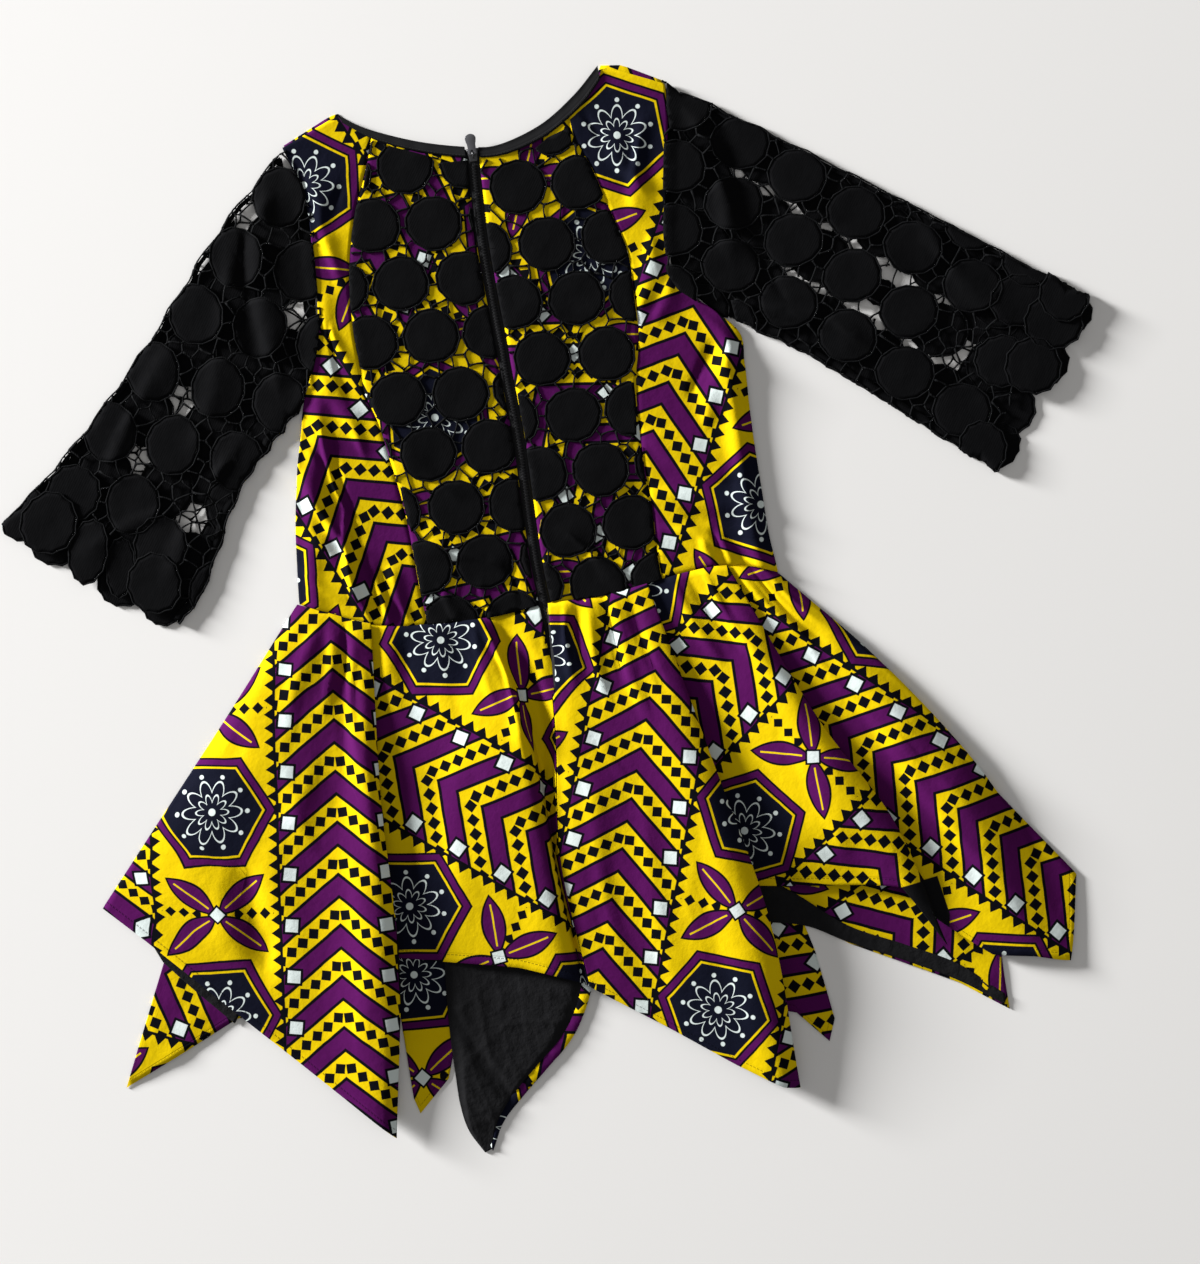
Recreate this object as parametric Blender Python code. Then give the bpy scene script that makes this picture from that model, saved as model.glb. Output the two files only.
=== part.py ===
"""A wax print dress with black circle lace, laid flat on its front with its back up.

Everything below is in millimetres, measured from the crossing of the waist seam and the zip:
x to the wearer's right arm as it lies, y towards the neck, z up from the surface it lies on.
The finished pieces are moved so that the middle of the dress stands over the origin.
"""

import bpy
import numpy as np

for old in list(bpy.data.objects):
    bpy.data.objects.remove(old, do_unlink=True)

MIDDLE_X = 25.8
MIDDLE_Y = 3.6
SEAM_GAP = 0.4
WAIST_GAP = 1.1
ARMHOLE_GAP = 1.7
CENTRE_GAP = 1.0
LAYER_GAP = 0.3

PRINT_CLOTH = 1.2
LACE_CLOTH = 1.0
LINING_CLOTH = 1.0

FRONT_Z = 0.6
FRONT_INSET = 1.5
BACK_Z = 4.7
SIDE_SEAM_Z = 2.2
LACE_Z = BACK_Z + PRINT_CLOTH / 2 + LAYER_GAP + LACE_CLOTH / 2

ZIP_OPENING = 8.8
ZIP_TAPE_WIDTH = 10.5
ZIP_END_Y = -73.0
BINDING_THICKNESS = 2.4

SLEEVE_RISE = 4.2
CUFF_SCALLOPS = 5
CUFF_SCALLOP_DEPTH = 7.0

# Bodice seams from the neck down: level y, then x of the left armhole and side, the left princess
# seam, the zip, the right princess seam, and the right armhole and side.
SEAMS = (
    (465, -176, -92, -2, 90, 184),
    (440, -168, -100, -2, 91, 182),
    (400, -162, -117, -4, 105, 175),
    (360, -164, -129, -6, 115, 168),
    (320, -166, -136, -6, 125, 162),
    (280, -173, -138, -5, 125, 168),
    (250, -184, -137, -4, 124, 198),
    (230, -193, -137, -4, 121, 215),
    (200, -201, -129, -3, 114, 216),
    (160, -211, -123, -2, 110, 214),
    (120, -219, -118, -3, 109, 213),
    (80, -224, -116, -4, 110, 213),
    (40, -228, -115, -4, 108, 213),
    (0, -230, -113, -2, 109, 216),
    (-90, -230, -113, 1, 109, 216),
)

# Waist seam: x, y.
WAIST = (
    (-230, 44),
    (-201, 31),
    (-172, 18),
    (-143, 10),
    (-100, 6),
    (-50, 4),
    (0, 8),
    (50, 7),
    (97, 12),
    (130, 16),
    (165, 17),
    (190, 13),
    (216, 3),
)

# Rows of a bodice panel as shares of its height, closest where the armhole bends.
PANEL_ROWS = (0.0, 0.09, 0.18, 0.26, 0.31, 0.345, 0.37, 0.395, 0.42, 0.45, 0.49, 0.56, 0.66, 0.77, 0.89, 1.0)

# Back neckline: x and y of the binding's outer edge, then of its inner edge.
BACK_NECK = (
    (-119, 486, -113, 477),
    (-93, 469, -89, 458),
    (-49, 450, -48, 440),
    (-4, 438, -4, 428),
    (24, 436, 28, 426),
    (64, 448, 68, 437),
    (100, 471, 103, 459),
    (124, 492, 128, 484),
)

# Tops of the back panels, from the left shoulder tip along shoulder and neck: x, y.
BACK_TOP = (
    (-176, 463),
    (-127, 483),
    (-116, 475),
    (-89, 457.6),
    (-48, 439.6),
    (-4, 427.6),
    (28, 425.6),
    (68, 436.6),
    (103, 458.6),
    (126, 481),
    (130, 488),
    (145, 484),
    (185, 466),
)

# Front of the dress, which shows above the back at both shoulders: x, y of its top edge, binding out.
FRONT_TOP = (
    (-174, 467),
    (-124, 486),
    (-114, 474),
    (-88, 459),
    (-48, 433),
    (0, 415.5),
    (50, 421),
    (96, 452),
    (122, 478),
    (134, 491),
    (148, 490),
    (183, 471),
)

# Front neckline: x and y of the binding's outer edge, then of its inner edge.
FRONT_NECK = (
    (-119, 491, -112, 479),
    (-90, 471, -87.5, 463.4),
    (-50, 445, -47.5, 436.4),
    (0, 427, 0, 418.4),
    (52, 433, 50, 424.4),
    (98, 464, 96, 456.4),
    (126, 490, 121.5, 482),
)

# Sleeve edges from the body to the cuff: share of the length, then outer x, y and inner x, y.
LEFT_SLEEVE = (
    (0.0, -176, 463, -197, 224),
    (0.2, -240, 405, -224, 199),
    (0.5, -330, 304, -268, 152),
    (0.8, -424, 212, -315, 68),
    (1.0, -487, 163, -341, 42),
)
RIGHT_SLEEVE = (
    (0.0, 185, 468, 216, 238),
    (0.2, 256, 419, 262, 207),
    (0.5, 362, 343, 322, 158),
    (0.8, 470, 263, 388, 100),
    (1.0, 539, 210, 431, 64),
)

# Fold lines of the left back skirt from the side edge to the centre seam: name, x and z at the
# waist, then x, y, z a third of the way down, two thirds down, and at the hem.
LEFT_SKIRT = (
    ("side edge", -230, 2.2, -304, -41, 2.2, -379, -124, 2.2, -453, -206, 2.2),
    ("side slope", -224, 4.6, -291, -49, 8.0, -360, -136, 8.0, -419, -241, 5.0),
    ("flat crest", -208, 6.2, -247, -81, 11.0, -296, -205, 11.0, -343, -324, 7.0),
    ("flat middle", -188, 6.6, -212, -107, 10.0, -244, -237, 12.0, -279, -393, 8.0),
    ("fold shoulder", -173, 8.0, -191, -127, 15.0, -201, -281, 17.0, -228, -448, 12.0),
    ("fold edge", -165, 6.9, -181, -143, 12.5, -189, -303, 13.5, -217, -459, 9.5),
    ("fold under", -172, 5.8, -189, -128, 10.0, -197, -272, 10.5, -220, -410, 7.2),
    ("tuck back", -175, 5.4, -203, -111, 8.4, -228, -220, 8.6, -238, -313, 6.4),
    ("tuck turn", -178, 4.4, -210, -104, 6.6, -234, -207, 6.8, -245, -301, 5.2),
    ("tuck front", -174, 3.4, -202, -102, 4.8, -223, -199, 5.0, -235, -296, 4.0),
    ("under the fold", -165, 3.4, -175, -97, 4.8, -183, -196, 5.2, -188, -295, 4.2),
    ("flute rise", -120, 5.4, -126, -100, 9.0, -138, -204, 10.0, -147, -305, 6.5),
    ("flute crest", -74, 6.6, -72, -104, 15.0, -77, -212, 16.0, -83, -319, 10.0),
    ("flute ridge", -46, 6.8, -45, -109, 17.0, -38, -220, 18.0, -34, -336, 12.0),
    ("valley side", -21, 6.0, -26, -112, 10.0, -32, -224, 11.0, -24, -346, 8.0),
    ("centre seam", -3, 5.0, -11, -112, 4.9, -26, -229, 4.2, -18, -349, 3.8),
)

# Fold lines of the right back skirt from the centre seam to the outer edge, in the same columns.
RIGHT_SKIRT = (
    ("centre seam", -3, 5.0, -11, -112, 4.9, -26, -229, 4.2, -18, -349, 3.8),
    ("first slope", 14, 5.6, 0, -118, 9.5, -10, -237, 8.0, 6, -366, 5.5),
    ("first rise", 32, 6.2, 27, -130, 13.0, 26, -264, 13.0, 51, -400, 8.0),
    ("first crest", 57, 6.6, 66, -150, 15.0, 81, -292, 17.0, 104, -441, 11.0),
    ("fold shoulder", 82, 8.0, 109, -157, 18.0, 140, -308, 20.0, 145, -469, 13.5),
    ("fold edge", 94, 6.9, 126, -152, 14.5, 156, -313, 15.5, 160, -472, 10.2),
    ("fold under", 87, 5.8, 118, -151, 10.8, 146, -309, 11.2, 144, -436, 7.6),
    ("tuck back", 84, 5.4, 96, -144, 9.2, 115, -263, 8.8, 131, -294, 6.6),
    ("tuck turn", 81, 4.4, 90, -140, 7.0, 108, -255, 6.9, 125, -284, 5.3),
    ("tuck front", 84, 3.4, 97, -136, 4.8, 116, -245, 5.0, 133, -278, 4.0),
    ("under the fold", 94, 3.4, 123, -134, 4.8, 146, -238, 5.2, 153, -282, 4.2),
    ("second rise", 118, 5.4, 154, -134, 9.0, 179, -229, 9.0, 197, -289, 5.6),
    ("second crest", 142, 6.6, 188, -136, 13.0, 220, -231, 13.0, 247, -296, 8.2),
    ("roll shoulder", 160, 8.0, 215, -133, 14.5, 262, -240, 14.5, 289, -302, 9.5),
    ("roll edge", 170, 6.9, 232, -141, 11.5, 285, -240, 12.0, 318, -358, 7.2),
    ("roll under", 165, 5.8, 225, -136, 9.4, 274, -236, 9.2, 308, -340, 5.9),
    ("roll turn", 161, 4.6, 217, -133, 7.0, 264, -233, 6.9, 294, -323, 4.8),
    ("roll front", 166, 3.5, 226, -133, 4.8, 274, -233, 4.8, 302, -331, 3.6),
    ("third rise", 185, 5.4, 262, -133, 9.0, 315, -242, 9.5, 356, -379, 5.5),
    ("third crest", 196, 6.2, 291, -130, 13.0, 355, -246, 14.0, 395, -387, 8.5),
    ("third slope", 207, 5.2, 315, -124, 9.0, 388, -244, 9.0, 427, -396, 4.8),
    ("outer edge", 215, 2.2, 300, -99, 2.2, 375, -217, 2.2, 445, -318, 2.2),
)

# Front skirt on the floor, left to right: name, x at the waist, x and y at the hem.
FRONT_SKIRT = (
    ("left edge", -228, -444, -204),
    ("left dip", -218, -403, -260),
    ("left point", -205, -458, -374),
    ("left point side", -193, -402, -351),
    ("left notch", -179, -346, -327),
    ("under the fold", -162, -258, -324),
    ("strip notch", -146, -196, -320),
    ("strip left", -137, -196, -426),
    ("strip tip", -130, -192, -441),
    ("strip right", -120, -161, -413),
    ("middle left", -102, -139, -352),
    ("middle", -45, -73, -340),
    ("middle right", 12, 28, -356),
    ("sliver left", 68, 168, -404),
    ("sliver tip", 79, 194, -435),
    ("sliver right", 87, 202, -415),
    ("sliver neck", 97, 194, -350),
    ("right notch", 108, 186, -315),
    ("band start", 120, 226, -348),
    ("band middle", 135, 274, -374),
    ("band end", 150, 321, -400),
    ("right tip", 166, 364, -432),
    ("right tip side", 179, 364, -400),
    ("under the edge", 192, 365, -372),
    ("right edge", 213, 439, -312),
)

# Lining that shows, row by row: x and y of its one edge, x and y of its other edge, z.
LEFT_LINING = (
    (-415, -242, -406, -264, 2.1),
    (-390, -268, -385, -290, 2.1),
    (-340, -318, -349, -331, 2.1),
)
MIDDLE_LINING = (
    (-146, -278, -14, -316, 2.1),
    (-148, -309, -26, -345, 2.1),
    (-151, -341, -36, -362, 2.1),
    (-153, -374, -57, -388, 2.1),
    (-153, -407, -84, -411, 1.9),
    (-149, -436, -112, -432, 1.2),
    (-143, -463, -126, -458, 0.8),
    (-137.5, -484, -134.5, -479, 0.6),
)
RIGHT_LINING = (
    (151, -269, 158, -286, 2.1),
    (187, -304, 193, -324, 2.1),
    (228, -332, 226, -347, 2.1),
    (276, -357, 275, -372, 2.1),
    (323, -383, 321, -398, 2.1),
    (362, -418, 360, -427, 2.1),
)
MIDDLE_HEM = (
    (-24.4, -346, -13, -351, 2.1),
    (-34.6, -363, -25, -369, 2.1),
    (-55.6, -389, -47, -395, 2.1),
    (-82.6, -412, -75, -418, 1.9),
    (-110.6, -433, -104, -439, 1.2),
    (-124.6, -459, -119, -463, 0.8),
    (-133, -480, -131, -484, 0.7),
)

SLIDER_Y = 430.0
SLIDER_LENGTH = 12.0
SLIDER_WIDTH = 7.6
SLIDER_BASE_Z = 4.2
SLIDER_TOP_Z = 6.4
CROWN_REACH = 3.4
CROWN_WALL = 0.8
CROWN_WIDTH = 1.4
CROWN_TOP_Z = 9.0
PULL_HINGE_Z = 7.3
PULL_LENGTH = 20.0
PULL_WIDTH = 5.4
PULL_SIDE = 1.2
PULL_THICKNESS = 1.0
PULL_WINDOW = 4.4

COLOURS = {
    "print": (0.93, 0.66, 0.01),
    "lace": (0.012, 0.012, 0.014),
    "binding": (0.015, 0.015, 0.017),
    "lining": (0.022, 0.022, 0.025),
    "tape": (0.018, 0.018, 0.02),
    "zip metal": (0.05, 0.05, 0.055),
}


def line(table, x):
    """Height of a polyline table (x, y) at x."""
    return np.interp(x, [row[0] for row in table], [row[1] for row in table])


def curve(places, values, place):
    """Value at place on a smooth curve through values at rising places."""
    places = np.array(places, dtype=float)
    values = np.array(values, dtype=float)
    slopes = np.gradient(values, places)
    index = int(np.clip(np.searchsorted(places, place) - 1, 0, len(places) - 2))
    span = places[index + 1] - places[index]
    t = float(np.clip((place - places[index]) / span, 0.0, 1.0))
    return (
        values[index] * (2 * t**3 - 3 * t**2 + 1)
        + values[index + 1] * (3 * t**2 - 2 * t**3)
        + slopes[index] * span * (t**3 - 2 * t**2 + t)
        + slopes[index + 1] * span * (t**3 - t**2)
    )


def seam(column, y):
    """x of a bodice seam at level y. Columns count from 1 for the left side."""
    return curve([row[0] for row in reversed(SEAMS)], [row[column] for row in reversed(SEAMS)], y)


def waist(x):
    """y of the waist seam at x."""
    return curve([row[0] for row in WAIST], [row[1] for row in WAIST], x)


def ease(value):
    """0 to 1 with soft ends."""
    share = np.clip(value, 0.0, 1.0)
    return share * share * (3 - 2 * share)


def along(points, steps):
    """Points of a smooth curve through points (first axis), with so many steps to each interval."""
    reach = np.linalg.norm(np.diff(points, axis=0), axis=-1, keepdims=True)
    spans = np.sqrt(np.maximum(reach, 1e-6))
    slopes = np.diff(points, axis=0) / spans
    tangents = np.empty_like(points)
    tangents[0] = slopes[0]
    tangents[-1] = slopes[-1]
    share = spans[:-1] / (spans[:-1] + spans[1:])
    tangents[1:-1] = slopes[:-1] * (1 - share) + slopes[1:] * share
    curve = []
    for index in range(len(points) - 1):
        for step in range(steps):
            t = step / steps
            curve.append(
                points[index] * (2 * t**3 - 3 * t**2 + 1)
                + points[index + 1] * (3 * t**2 - 2 * t**3)
                + tangents[index] * spans[index] * (t**3 - 2 * t**2 + t)
                + tangents[index + 1] * spans[index] * (t**3 - t**2)
            )
    curve.append(points[-1])
    return np.array(curve)


def material(name, colour, roughness):
    """A plain material for one piece."""
    made = bpy.data.materials.new(name)
    made.use_nodes = True
    shader = made.node_tree.nodes["Principled BSDF"]
    shader.inputs["Base Color"].default_value = (*colour, 1.0)
    shader.inputs["Roughness"].default_value = roughness
    return made


def add_piece(name, points, faces, colour, roughness=0.85, origin=(0.0, 0.0, 0.0)):
    """Adds a mesh given in millimetres, with its own origin, as one named object in metres."""
    shift = np.array([MIDDLE_X, MIDDLE_Y, 0.0])
    start = np.array(origin, dtype=float)
    mesh = bpy.data.meshes.new(name)
    mesh.from_pydata([tuple(p) for p in (np.array(points) - start) / 1000], [], faces)
    mesh.validate()
    mesh.update()
    piece = bpy.data.objects.new(name, mesh)
    place = np.zeros(3) if not start.any() else (start - shift) / 1000
    if not start.any():
        for vertex in mesh.vertices:
            vertex.co.x -= MIDDLE_X / 1000
            vertex.co.y -= MIDDLE_Y / 1000
    piece.location = place
    mesh.materials.append(material(name, COLOURS[colour], roughness))
    bpy.context.scene.collection.objects.link(piece)
    return piece


def normals(grid, ring):
    """Unit normals of a grid of points, rows by columns, whose columns close up if ring is set."""
    if ring:
        across = np.roll(grid, -1, axis=1) - np.roll(grid, 1, axis=1)
    else:
        across = np.gradient(grid, axis=1)
    down = np.gradient(grid, axis=0)
    found = np.cross(across, down)
    return found / np.maximum(np.linalg.norm(found, axis=-1, keepdims=True), 1e-9)


def add_wall(name, grid, thickness, colour, ring=False, roughness=0.85):
    """A closed wall of even thickness on a grid of middle points, rows down and columns across.

    Rows run from the neck to the hem and columns from left to right, so the normals point up.
    """
    grid = np.array(grid, dtype=float)
    rows, columns = grid.shape[:2]
    lift = -normals(grid, ring) * thickness / 2
    if ring:
        lift = -lift
    points = np.concatenate([(grid + lift).reshape(-1, 3), (grid - lift).reshape(-1, 3)])
    count = rows * columns
    faces = []
    for row in range(rows - 1):
        for column in range(columns if ring else columns - 1):
            beside = (column + 1) % columns
            a = row * columns + column
            b = row * columns + beside
            c = a + columns
            d = b + columns
            faces.append((a, c, d, b))
            faces.append((count + a, count + b, count + d, count + c))
    for column in range(columns if ring else columns - 1):
        beside = (column + 1) % columns
        last = (rows - 1) * columns
        faces.append((column, beside, count + beside, count + column))
        faces.append((last + beside, last + column, count + last + column, count + last + beside))
    if not ring:
        for row in range(rows - 1):
            a = row * columns
            b = a + columns
            faces.append((b, a, count + a, count + b))
            a += columns - 1
            b += columns - 1
            faces.append((a, b, count + b, count + a))
    if ring:
        faces = [tuple(reversed(face)) for face in faces]
    return add_piece(name, points, faces, colour, roughness)


def add_blocks(name, xs, ys, zs, filled, colour, origin=(0.0, 0.0, 0.0)):
    """A closed body of the filled cells (column, row, layer) between the planes xs, ys and zs."""
    spots = {}
    faces = []

    def corner(i, j, k):
        return spots.setdefault((i, j, k), len(spots))

    sides = (
        ((-1, 0, 0), ((0, 0, 0), (0, 0, 1), (0, 1, 1), (0, 1, 0))),
        ((1, 0, 0), ((1, 0, 0), (1, 1, 0), (1, 1, 1), (1, 0, 1))),
        ((0, -1, 0), ((0, 0, 0), (1, 0, 0), (1, 0, 1), (0, 0, 1))),
        ((0, 1, 0), ((0, 1, 0), (0, 1, 1), (1, 1, 1), (1, 1, 0))),
        ((0, 0, -1), ((0, 0, 0), (0, 1, 0), (1, 1, 0), (1, 0, 0))),
        ((0, 0, 1), ((0, 0, 1), (1, 0, 1), (1, 1, 1), (0, 1, 1))),
    )
    for i, j, k in sorted(filled):
        for (di, dj, dk), corners in sides:
            if (i + di, j + dj, k + dk) not in filled:
                faces.append(tuple(corner(i + a, j + b, k + c) for a, b, c in corners))
    points = [(xs[i], ys[j], zs[k]) for i, j, k in spots]
    return add_piece(name, np.array(points) + np.array(origin), faces, colour, 0.35, origin)


def bodice_panel(left, right, top_table, top_drop, heights):
    """Grid of a bodice panel: left and right give x at a level, heights gives z at shares across and down."""
    shares = np.array([0.0, 0.12, 0.3, 0.5, 0.7, 0.88, 1.0])
    downs = np.array(PANEL_ROWS)
    grid = np.zeros((len(downs), len(shares), 3))
    for column, share in enumerate(shares):
        top_x = left(455.0) + (right(455.0) - left(455.0)) * share
        top = line(top_table, top_x) - top_drop
        foot_x = left(8.0) + (right(8.0) - left(8.0)) * share
        foot = waist(foot_x) + WAIST_GAP
        for row, down in enumerate(downs):
            y = top + (foot - top) * down
            x = left(y) + (right(y) - left(y)) * share
            grid[row, column] = (x, y, heights(x, y, share, down))
    return grid


def side_drop(distance, y):
    """Lets the back come down to the side seam below the armhole."""
    below_arm = ease((262.0 - y) / 50.0)
    near_side = 1.0 - ease(distance / 16.0)
    return (BACK_Z - SIDE_SEAM_Z) * below_arm * near_side


def back_centre(side):
    """Centre-back panel on one side of the zip: -1 left, 1 right."""
    half = ZIP_OPENING / 2
    if side < 0:
        left, right = (lambda y: seam(2, y) + SEAM_GAP / 2), (lambda y: seam(3, y) - half)
    else:
        left, right = (lambda y: seam(3, y) + half), (lambda y: seam(4, y) - SEAM_GAP / 2)
    return bodice_panel(left, right, BACK_TOP, 0.9, lambda x, y, share, down: BACK_Z)


def back_side(side):
    """Side-back panel from the shoulder to the waist: -1 left, 1 right."""
    if side < 0:
        left, right = (lambda y: seam(1, y)), (lambda y: seam(2, y) - SEAM_GAP / 2)
    else:
        left, right = (lambda y: seam(4, y) + SEAM_GAP / 2), (lambda y: seam(5, y))

    def height(x, y, share, down):
        edge = share if side < 0 else 1.0 - share
        width = right(y) - left(y)
        drop = side_drop(edge * width, y)
        shoulder = ease((0.1 - down) / 0.1) * ease((0.75 - edge) / 0.2)
        return BACK_Z - max(drop, shoulder * (BACK_Z - SIDE_SEAM_Z))

    return bodice_panel(left, right, BACK_TOP, 0.9, height)


def front_grid():
    """Grid of the front bodice, flat on the floor and a little inside the back at the sides."""
    rows = []
    for down in PANEL_ROWS:
        row = []
        for share in np.linspace(0.0, 1.0, 15):
            top_x = FRONT_TOP[0][0] + (FRONT_TOP[-1][0] - FRONT_TOP[0][0]) * share
            foot_x = WAIST[0][0] + (WAIST[-1][0] - WAIST[0][0]) * share
            foot = waist(foot_x) + WAIST_GAP * 1.4
            y = line(FRONT_TOP, top_x) + (foot - line(FRONT_TOP, top_x)) * down
            left = seam(1, y) + FRONT_INSET
            right = seam(5, y) - FRONT_INSET
            row.append((left + (right - left) * share, y, FRONT_Z))
        rows.append(row)
    return np.array(rows)


def strip_rows(table, width_points=2):
    """Grid from rows of (x, y, x, y[, z]) edges."""
    rows = []
    for row in table:
        height = row[4] if len(row) > 4 else 0.0
        shares = np.linspace(0.0, 1.0, width_points)[:, None]
        start = np.array([row[0], row[1], height])
        end = np.array([row[2], row[3], height])
        rows.append(start + (end - start) * shares)
    return np.array(rows)


def neck_strip(table, height, start, end):
    """Grid of a neck binding between two x positions of its outer edge."""
    outer = [(row[0], row[1]) for row in table]
    inner = [(row[2], row[3]) for row in table]
    rows = []
    for outer_x in np.linspace(start, end, 8):
        share = np.interp(outer_x, [p[0] for p in outer], range(len(outer)))
        inner_x = np.interp(share, range(len(inner)), [p[0] for p in inner])
        inner_x = np.clip(inner_x, min(start, end), max(start, end))
        rows.append([(outer_x, line(outer, outer_x), height), (inner_x, line(inner, inner_x), height)])
    return np.swapaxes(np.array(rows), 0, 1)


def skirt_grid(table, open_column, open_side):
    """Grid of a back skirt from its fold lines, opened at the zip along one column."""
    stations = []
    for row in table:
        top = (row[1], waist(row[1]) - SEAM_GAP / 2, row[2])
        stations.append([top, row[3:6], row[6:9], row[9:12]])
    stations = np.array(stations, dtype=float)
    down = along(np.swapaxes(stations, 0, 1), 3)
    grid = np.array([along(points, 2) for points in down])
    for point in grid[0]:
        point[1] = waist(point[0]) - SEAM_GAP / 2
    for points in grid:
        y = points[open_column][1]
        centre = seam(3, y) if y > ZIP_END_Y else points[open_column][0]
        half = CENTRE_GAP + (ZIP_OPENING / 2 - CENTRE_GAP) * ease((y - ZIP_END_Y) / 60.0)
        points[open_column][0] = centre + open_side * half
    return grid


def front_skirt_grid():
    """Grid of the front skirt, flat on the floor."""
    rows = []
    for share in np.linspace(0.0, 1.0, 5):
        row = []
        for _, waist_x, hem_x, hem_y in FRONT_SKIRT:
            waist_y = waist(waist_x) - SEAM_GAP / 2
            row.append((waist_x + (hem_x - waist_x) * share, waist_y + (hem_y - waist_y) * share, FRONT_Z))
        rows.append(row)
    return np.array(rows)


def sleeve_grid(table, side):
    """Ring grid of a flattened sleeve: rows from armhole to cuff, columns round the tube."""
    shares = [row[0] for row in table]
    turn = SLEEVE_RISE / 2
    flat = np.linspace(0.0, 1.0, 17)
    bend = np.radians([45.0, 90.0, 135.0])
    rows = []
    for length in np.linspace(0.0, 1.0, 9):
        outer = np.array([np.interp(length, shares, [row[c] for row in table]) for c in (1, 2)])
        inner = np.array([np.interp(length, shares, [row[c] for row in table]) for c in (3, 4)])
        width = np.linalg.norm(inner - outer)
        across = (inner - outer) / width
        reach = width - 2 * turn - LACE_CLOTH
        start = turn + LACE_CLOTH / 2

        def plan(distance):
            spot = outer + across * distance
            level = table[0][2] + (table[0][4] - table[0][2]) * distance / width
            arm = seam(1 if side < 0 else 5, level) + side * ARMHOLE_GAP
            chord = table[0][1] + (table[0][3] - table[0][1]) * distance / width
            spot = spot + np.array([arm - chord, 0.0]) * (1 - length) ** 3
            wave = abs(np.sin(np.pi * CUFF_SCALLOPS * distance / width)) - 0.5
            away = np.array([across[1], -across[0]]) * side
            return spot - away * wave * CUFF_SCALLOP_DEPTH * max(0.0, length * 8 - 7)

        ring = []
        for share in flat:
            ring.append((*plan(start + reach * share), FRONT_Z + SLEEVE_RISE))
        for angle in bend:
            spot = start + reach + turn * np.sin(angle)
            ring.append((*plan(spot), FRONT_Z + turn + turn * np.cos(angle)))
        for share in reversed(flat):
            ring.append((*plan(start + reach * share), FRONT_Z))
        for angle in bend:
            spot = start - turn * np.sin(angle)
            ring.append((*plan(spot), FRONT_Z + turn - turn * np.cos(angle)))
        rows.append(ring)
    return np.array(rows)


# Front of the dress, flat on the floor.
add_wall("front_bodice", front_grid(), PRINT_CLOTH, "print")
add_wall("neck_binding_front", neck_strip(FRONT_NECK, FRONT_Z, -117.0, 124.0), PRINT_CLOTH, "binding")

# Centre back: print panels, with lace laid on them.
for side, word in ((-1, "left"), (1, "right")):
    panel = back_centre(side)
    add_wall(f"centre_back_{word}", panel, PRINT_CLOTH, "print")
    lace = panel.copy()
    lace[..., 2] = LACE_Z
    add_wall(f"lace_back_{word}", lace, LACE_CLOTH, "lace")
    add_wall(f"side_back_{word}", back_side(side), PRINT_CLOTH, "print")

# Binding of the back neckline, closed by the zip.
BINDING_Z = BACK_Z - PRINT_CLOTH / 2 + BINDING_THICKNESS / 2
left_end = seam(3, 433.0) - ZIP_OPENING / 2
right_start = seam(3, 433.0) + ZIP_OPENING / 2
add_wall("neck_binding_back_left", neck_strip(BACK_NECK, BINDING_Z, -118.0, left_end), BINDING_THICKNESS, "binding")
add_wall("neck_binding_back_right", neck_strip(BACK_NECK, BINDING_Z, right_start, 123.0), BINDING_THICKNESS, "binding")

# Zip: tapes under the panel edges, slider at the neck, pull turned up over the neckline.
TAPE_Z = BACK_Z - PRINT_CLOTH / 2 - LAYER_GAP - LINING_CLOTH / 2
for side, word in ((-1, "left"), (1, "right")):
    tape_rows = []
    for level in np.linspace(436.0, ZIP_END_Y - 8.0, 12):
        near = seam(3, level) + side * 0.2
        far = seam(3, level) + side * (0.2 + ZIP_TAPE_WIDTH)
        edges = (near, far) if side > 0 else (far, near)
        tape_rows.append([(edges[0], level, TAPE_Z), (edges[1], level, TAPE_Z)])
    add_wall(f"zip_tape_{word}", tape_rows, LINING_CLOTH, "tape")

zip_x = float(seam(3, SLIDER_Y))
half_width = SLIDER_WIDTH / 2
half_length = SLIDER_LENGTH / 2
slider_xs = [-half_width, -CROWN_WIDTH / 2, CROWN_WIDTH / 2, half_width]
slider_ys = [-half_length, -CROWN_REACH, CROWN_WALL - CROWN_REACH, CROWN_REACH - CROWN_WALL, CROWN_REACH, half_length]
slider_zs = [SLIDER_BASE_Z, SLIDER_TOP_Z, CROWN_TOP_Z - CROWN_WALL, CROWN_TOP_Z]
slider_cells = {(i, j, 0) for i in range(3) for j in range(5)}
slider_cells |= {(1, 1, 1), (1, 3, 1), (1, 1, 2), (1, 2, 2), (1, 3, 2)}
add_blocks(
    "zip_slider", [zip_x + x for x in slider_xs], [SLIDER_Y + y for y in slider_ys], slider_zs, slider_cells, "zip metal"
)
half_pull = PULL_WIDTH / 2
pull_xs = [-half_pull, PULL_SIDE - half_pull, half_pull - PULL_SIDE, half_pull]
pull_ys = [-PULL_THICKNESS / 2, PULL_THICKNESS / 2, PULL_WINDOW, PULL_LENGTH]
pull_zs = [-PULL_THICKNESS / 2, PULL_THICKNESS / 2]
pull_cells = {(i, j, 0) for i in range(3) for j in range(3)} - {(1, 1, 0)}
add_blocks(
    "zip_pull", pull_xs, pull_ys, pull_zs, pull_cells, "zip metal", origin=(zip_x, SLIDER_Y, PULL_HINGE_Z)
)

# Sleeves.
add_wall("sleeve_left", sleeve_grid(LEFT_SLEEVE, -1), LACE_CLOTH, "lace", ring=True)
add_wall("sleeve_right", sleeve_grid(RIGHT_SLEEVE, 1), LACE_CLOTH, "lace", ring=True)

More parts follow.
